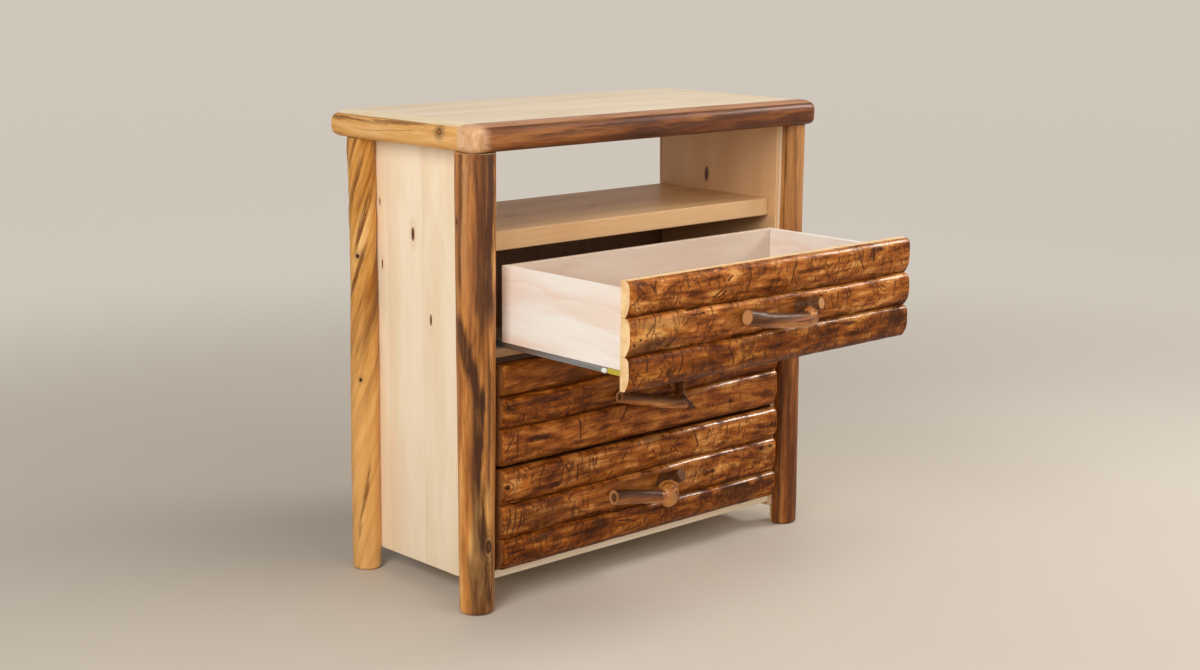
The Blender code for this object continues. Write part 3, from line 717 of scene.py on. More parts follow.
# Each post's own streaks; their places round the log are metres right of the side that faces the viewer
postBase = dict(
    along="z", stretch=(1.0, 1.0, 0.1), hairs=(1.0, 1.0, 0.35), swirl=0.055,
    bark=shade(88, 52, 28), barkScale=20.0, barkFrom=(0.6, 0.72), barkDepth=0.8,
)
postLooks = {
    "front_left": dict(
        facing=-127, seed=(0.3, 1.7, 0.2),
        tones=tones((114, 63, 25), (168, 104, 48), (204, 136, 66), (232, 177, 104)),
        bark=shade(64, 34, 16),
        dents=[(-84, 0.145, 0.011), (-195, 0.814, 0.006)],
        knots=[
            knot((-0.466, -0.03, 0.145), (0.0125, 0.03, 0.021), disc=shade(104, 56, 26), halo=0.6),
            knot((-0.508, 0.016, 0.814), (0.02, 0.0045, 0.011), halo=0.6),
        ],
        ribbons=[
            ribbon(0.0, (0.004, 9.0, 0.6), (0.19, 0.05), (0.56, 1.3, 0.12), 0.4, colour=(142, 92, 56)),
            ribbon(0.022, (0.004, 7.0, 2.2), (0.026, 0.06), (0.56, 1.1, 0.1), 0.9, colour=(66, 36, 22),
                   gap=0.3),
            ribbon(-0.022, (0.003, 8.0, 4.0), (0.012, 0.05), (0.62, 1.1, 0.1), 0.6, colour=(206, 152, 98)),
            ribbon(0.002, (0.005, 12.0, 5.0), (0.006, 0.04), (0.6, 0.98, 0.06), 0.75, colour=(70, 38, 22)),
            ribbon(-0.034, (0.002, 7.0, 1.2), (0.006, 0.03), (0.6, 1.1, 0.1), 0.55, colour=(84, 48, 28)),
            ribbon(-0.016, (0.003, 30.0, 0.0), (0.021, 0.04), (0.42, 0.64, 0.03), 0.95, slope=-0.24,
                   gap=0.25),
            ribbon(0.003, (0.004, 14.0, 0.4), (0.021, 0.04), (0.1, 0.5, 0.05), 0.95, gap=0.25),
            ribbon(0.026, (0.003, 11.0, 3.0), (0.009, 0.03), (0.2, 0.6, 0.08), 0.65),
            ribbon(0.004, (0.006, 20.0, 1.0), (0.044, 0.09), (-0.2, 0.16, 0.06), 0.9,
                   colour=(76, 42, 22), gap=0.2),
        ],
    ),
    "front_right": dict(
        facing=-137, seed=(2.3, 0.4, 1.1),
        tones=tones((98, 50, 17), (130, 71, 27), (156, 93, 41), (190, 128, 67)),
        dents=[(-150, 0.48, 0.006)],
        knots=[knot((0.446, -0.015, 0.48), (0.005, 0.02, 0.009))],
        ribbons=[
            ribbon(0.0, (0.002, 9.0, 1.0), (0.15, 0.05), (0.6, 1.3, 0.2), 0.6, colour=(200, 142, 82),
                   gap=-0.3),
            ribbon(-0.013, (0.002, 6.0, 0.2), (0.004, 0.008), (-0.2, 1.2, 0.1), 0.85),
            ribbon(0.012, (0.004, 10.0, 1.4), (0.006, 0.02), (-0.2, 1.2, 0.1), 0.6),
        ],
    ),
    "rear_left": dict(
        facing=-140, seed=(1.1, 3.7, 2.9),
        twist=0.36, plane=(-110, 0.9), barkFrom=(0.56, 0.68), barkScale=24.0,
        bark=shade(114, 64, 24),
        calm=(0.3, 0.68, 0.55, shade(238, 186, 112)),
        tones=tones((160, 98, 36), (204, 144, 66), (222, 168, 92), (240, 202, 136)),
        dents=[(-155, 0.7, 0.01), (-150, 0.44, 0.008)],
        knots=[
            knot((-0.5, 0.372, 0.7), (0.02, 0.007, 0.009), halo=0.5),
            knot((-0.497, 0.369, 0.43), (0.02, 0.004, 0.006), halo=0.5),
        ],
        ribbons=[
            ribbon(-0.008, (0.002, 25.0, 2.0), (0.007, 0.03), (0.86, 1.02, 0.04), 0.95, slope=0.3),
            ribbon(-0.016, (0.002, 31.0, 0.0), (0.006, 0.03), (0.76, 0.93, 0.04), 0.95, slope=0.34),
            ribbon(0.006, (0.002, 27.0, 1.0), (0.006, 0.03), (0.7, 0.86, 0.04), 0.95, slope=0.34),
            ribbon(-0.012, (0.002, 22.0, 4.0), (0.007, 0.03), (0.58, 0.74, 0.04), 0.9, slope=0.36),
            ribbon(0.004, (0.003, 25.0, 2.0), (0.006, 0.03), (0.05, 0.26, 0.05), 0.7, slope=0.12),
        ],
    ),
    "rear_right": dict(
        facing=45, seed=(4.1, 2.2, 0.6),
        tones=tones((150, 96, 44), (192, 134, 68), (208, 154, 84), (226, 182, 116)),
        dents=[(50, 0.52, 0.01)],
        knots=[knot((0.496, 0.411, 0.52), (0.013, 0.013, 0.014))],
        ribbons=[ribbon(0.008, (0.008, 8.0, 1.0), (0.012, 0.04), (-0.2, 1.2, 0.1), 0.75)],
    ),
}


def buildPosts():
    sawn = sawnFinish("postSawn", dict(sawnLook, fibres=(520.0, 520.0, 40.0)))
    for number, (corner, own) in enumerate(postLooks.items()):
        look = dict(postBase, **own)
        buildPost(corner, number, look, [peeledFinish("post_" + corner + "_bark", look), sawn])


buildPosts()
print("posts built")


# Half-log edging of the top
logShape = dict(
    width=0.05, height=0.056, upperRound=3.2, lowerRound=4.5, waver=0.001, frontWaves=9,
    sideWaves=13, sideOffset=0.013, frontOffset=0.002, endRound=0.026, rearRound=0.01,
    seatRound=0.0004, endCrown=0.022, crownDrop=0.6, paleEnd=(0.002, 0.07), waveStart=0.004,
    facets=52, rows=220, lumpDepth=0.0014, lumps=(8, 30, 30), flatEdge=(0.7, 0.9), sharp=40,
    lumpFade=3, easeSteps=16,
)
logBase = dict(
    swirl=0.05, bark=shade(92, 54, 28), barkScale=22.0, barkFrom=(0.62, 0.74), barkDepth=0.7,
    flat=(shade(238, 219, 184), shade(222, 195, 150)),
)
sideBase = dict(logBase, along="y", stretch=(1.0, 0.1, 1.0), hairs=(1.0, 0.35, 1.0))
logLooks = {
    "left": dict(
        sideBase,
        seed=(3.3, 0.9, 5.0),
        tones=tones((186, 126, 58), (209, 155, 84), (219, 169, 100), (228, 187, 124)),
        barkDepth=0.45,
        knots=[knot((-0.509, 0.07, 0.988), (0.03, 0.009, 0.0098), disc=shade(170, 106, 50))],
        ribbons=[
            ribbon(0.084, (0.002, 12.0, 0.4), (0.005, 0.035), (0.1, 0.6, 0.05), 0.75, colour=(112, 62, 28)),
            ribbon(0.094, (0.002, 15.0, 2.0), (0.005, 0.04), (0.05, 0.6, 0.05), 0.65, colour=(128, 76, 34)),
            ribbon(0.068, (0.001, 30.0, 2.0), (0.002, 0.006), (0.14, 0.34, 0.04), 0.7, slope=-0.05,
                   colour=(122, 72, 34)),
        ],
    ),
    "right": dict(
        sideBase,
        seed=(5.3, 1.9, 2.0),
        tones=tones((168, 108, 52), (202, 144, 76), (216, 160, 92), (230, 186, 122)),
        ribbons=[ribbon(0.07, (0.006, 9.0, 1.4), (0.01, 0.05), (-0.2, 0.7, 0.05), 0.8)],
    ),
    "front": dict(
        logBase,
        along="x",
        seed=(0.9, 6.3, 1.0),
        stretch=(0.09, 1.0, 1.0),
        hairs=(0.35, 1.0, 1.0),
        tones=tones((62, 28, 8), (100, 51, 17), (128, 71, 27), (164, 103, 48)),
        bark=shade(66, 34, 14),
        flat=(shade(172, 120, 82), shade(138, 88, 54)),
        end=(shade(211, 168, 128), shade(190, 142, 98)),
        endGrain=(60.0, 260.0, 30.0),
        ribbons=[
            ribbon(0.096, (0.003, 6.0, 0.0), (0.017, 0.06), (-0.5, 0.56, 0.08), 0.8),
            ribbon(0.072, (0.004, 8.0, 1.2), (0.007, 0.04), (-0.42, 0.05, 0.08), 0.7),
            ribbon(0.064, (0.006, 9.0, 0.5), (0.012, 0.05), (-0.12, 0.36, 0.06), 0.8, slope=0.1),
            ribbon(0.06, (0.004, 12.0, 2.6), (0.01, 0.05), (0.2, 0.52, 0.06), 0.6),
        ],
    ),
}


def endDrawIn(distance, roundness):
    near = np.clip(roundness - distance, 0, roundness)
    return roundness - np.sqrt(np.maximum(roundness ** 2 - near ** 2, 0))


def logSections(places, toEnd, roundness, waves, seed):
    # Half-round sections: how far out, how high, and how flat the top is
    shape = logShape
    drop = (endDrawIn(toEnd, shape["endCrown"]) * shape["crownDrop"])[:, None]
    width = shape["width"] + shape["waver"] * (waves - 1) - endDrawIn(toEnd, roundness)
    turn = spread(-math.pi / 2, math.pi / 2, shape["facets"] + 1)[None, :]
    power = 2 / np.where(turn > 0, shape["upperRound"], shape["lowerRound"])
    out = np.abs(np.cos(turn)) ** power
    rise = np.sign(np.sin(turn)) * np.abs(np.sin(turn)) ** power
    flat = np.where(turn > 0, 1 - smooth(out, *shape["flatEdge"]), 0.0) + 0 * places[:, None]
    out = out * width[:, None]
    rise = (1 + rise) / 2 * (shape["height"] - 2 * drop) + drop
    lumps = wander(stacked(places[:, None], out, rise), shape["lumps"], seed)
    inner = np.clip(out / shape["width"] * shape["lumpFade"], 0, 1)
    return out - lumps * shape["lumpDepth"] * inner, rise, flat


def logPlaces(start, end, startRound, endRound):
    ease = 1 - np.cos(spread(0, math.pi / 2, logShape["easeSteps"]))
    middle = spread(start + startRound, end - endRound, logShape["rows"])[1:-1]
    return np.concatenate([start + startRound * ease, middle, end - endRound * ease[::-1]])


def finishLog(hand, rings, flat, ended, sawn):
    node = "top_" + hand + "_log"
    mesh = skinMesh(node + "_half", rings, [rings.shape[1] - 1], logShape["sharp"])
    steps = np.linalg.norm(np.diff(rings, axis=1), axis=-1)
    run = np.concatenate([np.zeros((len(rings), 1)), np.cumsum(steps, 1)], 1)
    paint(mesh, around=run, flat=flat, ended=ended[:, None] + 0 * flat)
    bark = peeledFinish("log" + hand.title() + "Bark", logLooks[hand])
    newPiece(node + "_half", mesh, [bark, sawn], "carcass", [node])


def buildEdgeLogs():
    shape = logShape
    cutEnd = shades(pale=(217, 174, 133), tan=(196, 148, 104), dust=(222, 182, 142))
    sawn = sawnFinish("edgeSawn", dict(sawnLook, **cutEnd))
    base = chest["topSurface"] - shape["height"]
    inner = panelHigh.x - chest["middle"] + shape["sideOffset"]
    frontInner = chest["front"] - shape["frontOffset"]
    half = inner + shape["width"]
    # The front log runs past both side logs; its left end is sawn pale
    places = logPlaces(-half, half, shape["endRound"], shape["endRound"])
    waves = np.sin(shape["frontWaves"] * places)
    out, rise, flat = logSections(places, half - np.abs(places), shape["endRound"], waves, (2, 5, 1))
    rings = stacked(places[:, None] + chest["middle"], frontInner - out, base + rise)
    finishLog("front", rings, flat, 1 - smooth(places + half, *shape["paleEnd"]), sawn)
    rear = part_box("top_panel")[1].y
    middle = (panelHigh.y + panelLow.y) / 2 - shape["waveStart"]
    for hand, side in hands.items():
        places = logPlaces(frontInner + chest["seatGap"], rear, shape["seatRound"], shape["rearRound"])
        waves = np.sin(shape["sideWaves"] * (places - middle) + side)
        out, rise, flat = logSections(places, rear - places, shape["rearRound"], waves, (4 + side, 1, 7))
        rings = stacked(chest["middle"] + side * (inner + out), places[:, None], base + rise)
        finishLog(hand, rings, flat, 0 * places, sawn)


buildEdgeLogs()
print("edge logs built")


# Drawer fronts: three half-log slats each, parted by wavering joints
slatShape = dict(
    half=0.418, height=0.214, lowerEdge=0.019, upperEdge=0.027, crown=0.033, lowerPower=2.3,
    upperPower=3.4, rimRound=0.01, rimHalf=0.036, crownSwell=0.0015, crownWaves=8,
    crownPhases=(1.3, 2.1), jointWaver=0.0016, jointWaves=(7, 19), jointFine=0.5,
    jointPhases=(2, 3), endEase=0.009, endDrop=0.006, shaved=0.029, shavedHalf=0.125,
    shavedSlope=0.16, handleShift=-0.028,
    joints={
        "lower": ((0.065, 0.061), (0.139, 0.14)),
        "middle": ((0.075, 0.081), (0.146, 0.15)),
        "upper": ((0.069, 0.067), (0.142, 0.138)),
    },
    paleEdge="upper_drawer_slat_top",
    rows=300, facets=40, edgeSteps=5, lumpDepth=0.0016, lumps=(16, 42, 1),
    ripples=(60, 90, 1), rippleShare=0.25, chipDepth=0.003, chips=(26, 6, 1), chipPower=6,
    shavedBlend=0.0004, sharp=42, easeSteps=9, edgeShare=0.6,
)
slats = ("bottom", "middle", "top")


def jointHeight(level, joint, places):
    shape = slatShape
    if joint == 0:
        return np.zeros_like(places)
    if joint == len(slats):
        return np.full_like(places, shape["height"])
    left, right = shape["joints"][level][joint - 1]
    share = (places + shape["half"]) / (2 * shape["half"])
    phase = shape["jointPhases"][0] * drawers.index(level) + shape["jointPhases"][1] * joint
    broad = np.sin(shape["jointWaves"][0] * places + phase)
    fine = np.sin(shape["jointWaves"][1] * places + 2 * phase)
    return left + (right - left) * share + shape["jointWaver"] * (broad + shape["jointFine"] * fine)


def slatThickness(level, slat, places, across):
    shape = slatShape
    number = drawers.index(level)
    phase = shape["crownPhases"][0] * number + shape["crownPhases"][1] * slat
    crown = shape["crown"] + shape["crownSwell"] * (np.sin(shape["crownWaves"] * places + phase) - 1)
    edge = np.where(across > 0, shape["upperEdge"], shape["lowerEdge"])
    power = np.where(across > 0, shape["upperPower"], shape["lowerPower"])
    thickness = crown - (crown - edge) * np.abs(across) ** power
    thickness = thickness - endDrawIn(shape["rimHalf"] * (1 - across), shape["rimRound"])
    shavedPlane = np.full_like(thickness, 1.0)
    if slats[slat] == "middle":
        pastFlat = np.maximum(np.abs(places - shape["handleShift"]) - shape["shavedHalf"], 0)
        shavedPlane = shape["shaved"] + shape["shavedSlope"] * pastFlat + 0 * across
    seed = np.array((number * 9 + slat * 5, number * 7, slat * 2))
    skin = stacked(places, shape["rimHalf"] * across, 0)
    lumps = wander(skin, shape["lumps"], seed)
    ripples = wander(skin, shape["ripples"], seed)
    chips = np.clip(wander(skin, shape["chips"], seed + 11) * 2 - 1, 0, 1)
    rippled = shape["rippleShare"]
    thickness = thickness - (lumps * (1 - rippled) + ripples * rippled) * shape["lumpDepth"]
    thickness = thickness - chips * shape["chipDepth"] * np.abs(across) ** shape["chipPower"]
    shaved = smooth(thickness - shavedPlane, -shape["shavedBlend"], shape["shavedBlend"])
    thickness = np.minimum(thickness, shavedPlane)
    ease = endDrawIn(shape["half"] - np.abs(places), shape["endEase"]) / shape["endEase"]
    return thickness - shape["endDrop"] * ease, shaved


def buildSlat(level, slat, materials):
    shape = slatShape
    node = level + "_drawer_slat_" + slats[slat]
    half = shape["half"]
    facets = shape["facets"]
    ease = shape["endEase"] * (1 - np.cos(spread(0, math.pi / 2, shape["easeSteps"])))
    middle = spread(-half + shape["endEase"], half - shape["endEase"], shape["rows"])[1:-1]
    places = np.concatenate([-half + ease, middle, half - ease[::-1]])[:, None]
    gap = chest["seatGap"]
    low = jointHeight(level, slat, places) + (gap if slat else 0)
    high = jointHeight(level, slat + 1, places) - (gap if slat < len(slats) - 1 else 0)
    # Closer columns towards the two edges, where the section turns most
    closer = np.sin(spread(-math.pi / 2, math.pi / 2, facets + 1))
    across = shape["edgeShare"] * closer + (1 - shape["edgeShare"]) * spread(-1, 1, facets + 1)
    across = across[None, :]
    thickness, shaved = slatThickness(level, slat, places, across)
    rise = low + (high - low) * (across + 1) / 2
    # Round the section: the face upwards, the upper edge back, down the back, the lower edge out
    steps = spread(0, 1, shape["edgeSteps"] + 1)[None, 1:]
    topOut = thickness[:, -1:] * (1 - steps)
    bottomOut = thickness[:, :1] * steps[:, :-1]
    outs = np.concatenate([thickness, topOut, 0 * low, bottomOut], 1)
    heights = np.concatenate([rise, high + 0 * topOut, low, low + 0 * bottomOut], 1)
    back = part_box(node)[1].y
    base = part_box(level + "_drawer_slat_bottom")[0].z
    rings = stacked(places + chest["middle"], back - outs, base + heights)
    firstSawn = facets if node == shape["paleEdge"] else facets + shape["edgeSteps"]
    mesh = skinMesh(node + "_log", rings, range(firstSawn, rings.shape[1]), shape["sharp"])
    for name, values, beyond in (("shaved", shaved, 0.0), ("across", across, -1.0)):
        painting = np.full(outs.shape, beyond)
        painting[:, :facets + 1] = values
        paint(mesh, **{name: painting})
    newPiece(node + "_log", mesh, materials, level + "_drawer", [node])


# Where beetles ran under the bark they left winding tracks; the boldest strokes, dots and stains are placed
slatLook = dict(
    shades(track=(66, 31, 10), seamDark=(54, 24, 8), rim=(206, 146, 82), shaved=(126, 72, 30),
           shavedPale=(160, 100, 48), stain=(46, 22, 10), grey=(108, 68, 38), straw=(184, 132, 74),
           orange=(190, 108, 34), umber=(68, 34, 16)),
    satin={"Specular IOR Level": 0.08, "Coat Roughness": 0.12},
    golden=tones((92, 43, 11), (145, 78, 27), (176, 104, 42), (219, 154, 84)),
    brown=tones((69, 30, 6), (116, 59, 15), (146, 78, 23), (188, 121, 50)),
    plain=tones((85, 41, 9), (116, 61, 17), (139, 78, 26), (169, 106, 46)),
    tan=tones((92, 44, 12), (137, 73, 26), (168, 97, 38), (200, 130, 64)),
    strokeWidth=0.0024, cellStrokeWidth=0.0028, stretch=(0.14, 1.0, 1.0), swirls=12.0, swirl=0.05,
    grain=90.0, cloudStretch=(0.5, 1.0, 1.0), clouds=34.0, warps=60.0, rags=95.0, bump=(0.75, 0.0018),
)
# Winding tracks: lean, scale, line width, shift, scale and range of the gate, depth
trackLayers = [
    (0.12, (62.0, 10.0, 16.0), 0.075, (0.0, 0.0, 0.0), (13.0, 5.0, 21.0), (0.53, 0.6), 0.6),
    (-0.55, (54.0, 10.0, 15.0), 0.07, (7.0, 3.0, 1.0), (15.0, 5.0, 24.0), (0.56, 0.62), 0.55),
]
# Short strokes, one to a cell: cells to the metre, lean and its spread, half length, bow, shift, gate, depth
strokeLayers = [
    (30.0, -1.1, 0.8, 0.019, 22.0, (0.0, 0.0, 0.0), (0.44, 0.54), 0.8),
    (40.0, 1.0, 1.2, 0.014, 36.0, (4.0, 2.0, 0.0), (0.49, 0.58), 0.7),
    (22.0, -1.3, 0.6, 0.028, 10.0, (1.0, 7.0, 0.0), (0.48, 0.56), 0.8),
    (52.0, 0.1, 3.0, 0.01, 90.0, (8.0, 5.0, 0.0), (0.52, 0.6), 0.65),
]
# Strokes: x, z, degrees of lean to the right, length and bow. Dots: x, z and size.
# Patches: x, z, half width, half height, depth and colour.
slatMarks = {
    "upper_top": dict(
        tone="golden", shine=0.3,
        strokes=[(-0.36, 0.72, -30, 0.02, 0), (-0.355, 0.725, 30, 0.02, 0), (-0.095, 0.71, 10, 0.06, 0.003),
                 (-0.18, 0.69, 60, 0.035, 0.001), (-0.17, 0.685, 60, 0.03, 0.001),
                 (-0.15, 0.715, 55, 0.02, 0), (0.04, 0.71, 20, 0.06, -0.003), (-0.03, 0.69, 30, 0.025, 0.001),
                 (0.145, 0.715, 90, 0.025, 0.008), (0.25, 0.7, -30, 0.03, 0.002),
                 (0.35, 0.695, -10, 0.03, 0.001)],
        dots=[(0.4, 0.695, 0.003), (0.41, 0.72, 0.003)],
        patches=[(0.305, 0.73, 0.03, 0.012, 0.9, "stain"), (0.29, 0.715, 0.005, 0.018, 0.9, "stain"),
                 (-0.205, 0.737, 0.018, 0.006, 0.7, "stain")],
    ),
    "upper_middle": dict(
        tone="golden", shine=0.3,
        strokes=[(-0.31, 0.61, 55, 0.03, 0), (-0.245, 0.665, 90, 0.045, 0), (-0.24, 0.655, 90, 0.045, 0),
                 (0.205, 0.645, -25, 0.03, 0), (0.215, 0.65, -10, 0.03, 0)],
        dots=[(-0.345, 0.61, 0.0035), (-0.395, 0.625, 0.003), (-0.41, 0.615, 0.003)],
        patches=[(-0.35, 0.61, 0.085, 0.02, 0.75, "grey"), (-0.34, 0.65, 0.085, 0.013, 0.65, "straw"),
                 (-0.115, 0.595, 0.025, 0.006, 0.8, "stain")],
    ),
    "upper_bottom": dict(
        tone="brown", shine=0.3,
        strokes=[(-0.375, 0.575, 0, 0.035, 0.001), (-0.285, 0.57, 10, 0.05, 0.004),
                 (-0.11, 0.545, 45, 0.02, 0), (-0.145, 0.56, -25, 0.045, 0.003),
                 (0.125, 0.555, 30, 0.035, 0.001)],
        dots=[(0.06, 0.535, 0.003), (0.02, 0.555, 0.003)],
        patches=[(-0.315, 0.55, 0.011, 0.01, 0.9, "umber"), (-0.32, 0.535, 0.01, 0.006, 0.9, "orange"),
                 (-0.2, 0.545, 0.036, 0.012, 0.45, "stain"), (0.38, 0.565, 0.062, 0.026, 0.75, "stain"),
                 (0.22, 0.577, 0.034, 0.005, 0.75, "stain")],
    ),
    "middle_top": dict(tone="plain", tracks=0.0),
    "middle_middle": dict(
        tone="brown", tracks=0.7,
        strokes=[(-0.41, 0.43, -15, 0.02, 0.003), (-0.365, 0.4, 0, 0.02, 0)],
        dots=[(-0.24, 0.385, 0.006)],
        patches=[(-0.3, 0.43, 0.06, 0.008, 0.5, "stain"), (-0.33, 0.395, 0.018, 0.007, 0.6, "stain")],
    ),
    "middle_bottom": dict(
        tone="tan", tracks=0.6,
        strokes=[(-0.4, 0.35, 35, 0.04, 0.001), (-0.38, 0.34, 0, 0.055, 0), (-0.21, 0.35, -5, 0.05, 0.004),
                 (-0.075, 0.36, 45, 0.055, -0.004)],
        dots=[(0.16, 0.37, 0.0035), (0.135, 0.34, 0.0045), (0.195, 0.335, 0.004), (0.255, 0.335, 0.007)],
        patches=[(-0.325, 0.35, 0.034, 0.009, 0.85, "stain"), (-0.145, 0.378, 0.014, 0.005, 0.8, "stain")],
    ),
    "lower_top": dict(
        tone="golden",
        strokes=[(-0.245, 0.27, -25, 0.025, 0), (-0.235, 0.27, 30, 0.02, 0), (-0.215, 0.255, 0, 0.04, 0.001),
                 (-0.17, 0.27, 5, 0.02, 0), (-0.16, 0.27, 5, 0.02, 0), (0.145, 0.265, -20, 0.045, 0.002)],
        dots=[(0.365, 0.29, 0.003), (0.395, 0.26, 0.0035)],
        patches=[(-0.25, 0.265, 0.17, 0.04, 0.25, "umber"), (-0.36, 0.26, 0.018, 0.014, 0.8, "orange"),
                 (-0.275, 0.24, 0.012, 0.008, 0.8, "stain"), (0.235, 0.24, 0.018, 0.007, 0.7, "stain"),
                 (0.01, 0.287, 0.034, 0.007, 0.75, "stain")],
        eye=(-0.41, 0.258),
    ),
    "lower_middle": dict(
        tone="golden",
        strokes=[(-0.405, 0.185, 10, 0.055, 0.002), (-0.39, 0.185, 10, 0.05, 0.002),
                 (-0.375, 0.18, 10, 0.045, 0.002), (0.145, 0.175, 25, 0.03, -0.003)],
        dots=[(0.2, 0.18, 0.007), (0.365, 0.205, 0.008), (0.395, 0.205, 0.007)],
        patches=[(0.37, 0.19, 0.05, 0.02, 0.4, "umber"), (0.27, 0.175, 0.016, 0.01, 0.5, "stain"),
                 (-0.31, 0.18, 0.13, 0.04, 0.5, "umber"), (0.12, 0.19, 0.08, 0.012, 0.4, "straw")],
    ),
    "lower_bottom": dict(
        tone="brown",
        strokes=[(-0.2, 0.115, 15, 0.055, -0.004), (-0.285, 0.1, 60, 0.03, 0), (-0.275, 0.1, 45, 0.025, 0),
                 (-0.075, 0.12, 95, 0.035, 0), (-0.385, 0.115, 85, 0.055, 0)],
        dots=[(-0.39, 0.1, 0.004)],
        patches=[(-0.315, 0.13, 0.034, 0.008, 0.8, "stain"), (-0.155, 0.132, 0.034, 0.006, 0.7, "stain"),
                 (0.3, 0.12, 0.13, 0.03, 0.8, "umber"), (0.215, 0.135, 0.022, 0.014, 0.8, "orange"),
                 (0.335, 0.13, 0.014, 0.01, 0.6, "orange")],
    ),
}


def strokeMask(f, place, stroke):
    x, z, degrees, length, bow = stroke
    width = slatLook["strokeWidth"]
    sine = math.sin(math.radians(degrees))
    cosine = math.cos(math.radians(degrees))
    run = f.along(place, (sine, 0, cosine)) - (x * sine + z * cosine)
    off = f.along(place, (cosine, 0, -sine)) - (x * cosine - z * sine)
    if bow:
        share = run / (length / 2)
        off = off + bow * share * share - bow
    return f.within(abs(off), width * 0.35, width) * f.within(abs(run), length * 0.42, length * 0.5)


def trackMasks(f, moved, warp):
    # Lines where a noise crosses its middle, kept only here and there
    for lean, scale, width, shift, gateScale, gate, depth in trackLayers:
        turned = f.turned(moved, (0.0, 1.0, 0.0), lean)
        spot = f.plus(f.times(turned, scale), shift)
        field = f.noise(f.plus(spot, f.scaled(warp, 0.8)), 1.0, 0.0, 0.4)
        line = f.within(abs(field - 0.5), width * 0.35, width)
        opened = f.step(f.noise(f.plus(f.times(moved, gateScale), shift), 1.0), *gate)
        yield line * opened * depth


def cellStrokes(f, moved, warp):
    # Short bowed strokes strewn over the face, thick in some places and none in others
    width = slatLook["cellStrokeWidth"]
    x, _, z = f.split(f.plus(moved, f.scaled(warp, 0.005)))
    for cells, lean, leanSpread, longest, bow, shift, gate, depth in strokeLayers:
        flat = f.plus(f.join(x, z, 0.0), shift)
        offset, chance = f.cells(flat, cells)
        angle = lean + (chance[0] - 0.5) * leanSpread
        run, off, _ = f.split(f.turned(offset, (0.0, 0.0, 1.0), angle))
        off = off + run * run * (chance[1] - 0.5) * bow
        half = (0.45 + chance[2] * 0.55) * longest
        line = f.within(abs(off), width * 0.2, width) * f.within(abs(run), half * 0.75, half)
        opened = f.step(f.noise(f.times(flat, (11.0, 17.0, 1.0)), 1.0), *gate)
        yield line * opened * depth


def slatFinish(name, seed, marks):
    look = slatLook
    f = Finish(name, look["satin"])
    place = f.place()
    moved = f.plus(place, seed)
    drawn = f.swirled(f.times(moved, look["stretch"]), look["swirls"], look["swirl"])
    grain = f.noise(drawn, look["grain"], 5.0, 0.62)
    clouds = f.noise(f.times(moved, look["cloudStretch"]), look["clouds"], 3.0, 0.58)
    warp = f.drift(moved, look["warps"])
    ragged = (f.noise(moved, look["rags"], 4.0, 0.65) - 0.5) * 1.9
    f.colour = f.ramp(clouds * 0.4 + grain * 0.6, look[marks["tone"]])
    for x, z, halfWidth, halfHeight, depth, tone in marks.get("patches", ()):
        away = f.spot(place, (x, 0, z), (halfWidth, None, halfHeight)) + ragged
        f.coat(f.within(away, 0.35, 1.15) * depth, look[tone])
    tracks = f.most(f.most(*trackMasks(f, moved, warp)), f.most(*cellStrokes(f, moved, warp)))
    shaken = f.plus(place, f.scaled(warp, 0.004))
    placed = [strokeMask(f, shaken, stroke) for stroke in marks.get("strokes", ())]
    for x, z, size in marks.get("dots", ()):
        away = f.spot(place, (x, 0, z), (size * 1.3, None, size)) + ragged * 0.4
        placed.append(f.within(away, 0.5, 1.0))
    if "eye" in marks:
        # A branch knot with whorled grain round it
        x, z = marks["eye"]
        away = f.spot(place, (x, 0, z), (0.0085, None, 0.007))
        whorl = f.step(f.maths("SINE", away * 4.5 + ragged * 1.5), 0.2, 0.9) * f.within(away, 2.0, 4.5) * 0.6
        placed.append(f.most(whorl, f.within(away + ragged * 0.3, 0.6, 1.0)))
    lines = f.most(tracks * marks.get("tracks", 1.0), *placed)
    f.coat(lines * (0.75 + grain * 0.4), look["track"])
    across = f.painted("across")
    # Painted highlight: a paler colour along the upper rims, on the right half only, where the coat is also
    # made thicker
    rimHighlight = f.step(across + (grain - 0.5) * 0.5, 0.62, 0.85) * f.step(f.split(place)[0], -0.2, 0.2)
    rimHighlight = rimHighlight * f.step(clouds, 0.38, 0.56)
    f.coat(rimHighlight * 0.45, look["rim"])
    # Painted shade: darker towards each slat's lower edge, where it turns under towards the joint
    lowerEdgeShade = f.within(across + (grain - 0.5) * 0.3, -1.0, -0.65)
    f.coat(lowerEdgeShade * 0.6, look["seamDark"])
    shaved = f.painted("shaved")
    bared = f.mix(f.step(grain, 0.4, 0.6), look["shaved"], look["shavedPale"])
    f.coat(shaved * 0.65, bared)
    height = grain * 0.35 + clouds * 0.25 - lines * (1 - shaved * 0.6)
    f.set({
        "Base Color": f.colour,
        "Roughness": 0.34 + (grain - 0.5) * 0.3 + lines * 0.15,
        "Coat Weight": 0.03 + rimHighlight * marks.get("shine", 0.7),
        "Normal": f.bump(height, *look["bump"]),
    })
    return f.material


def buildFronts():
    # The ends of the two lower fronts sit in shade beside the posts; they get a browner copy of the sawn
    # finish, which is painted shade
    shadedEnds = dict(sawnLook, **shades(pale=(158, 106, 58), tan=(122, 76, 38), dust=(176, 124, 72)))
    for number, level in enumerate(drawers):
        sawn = sawnFinish(level + "SlatSawn", sawnLook if level == "upper" else shadedEnds)
        for slat, name in enumerate(slats):
            seed = (number * 3.7 + slat * 1.3, 0.4 * slat, 2.1 * number)
            material = slatFinish(level + name.title() + "Bark", seed, slatMarks[level + "_" + name])
            buildSlat(level, slat, [material, sawn])


buildFronts()
print("drawer fronts built")


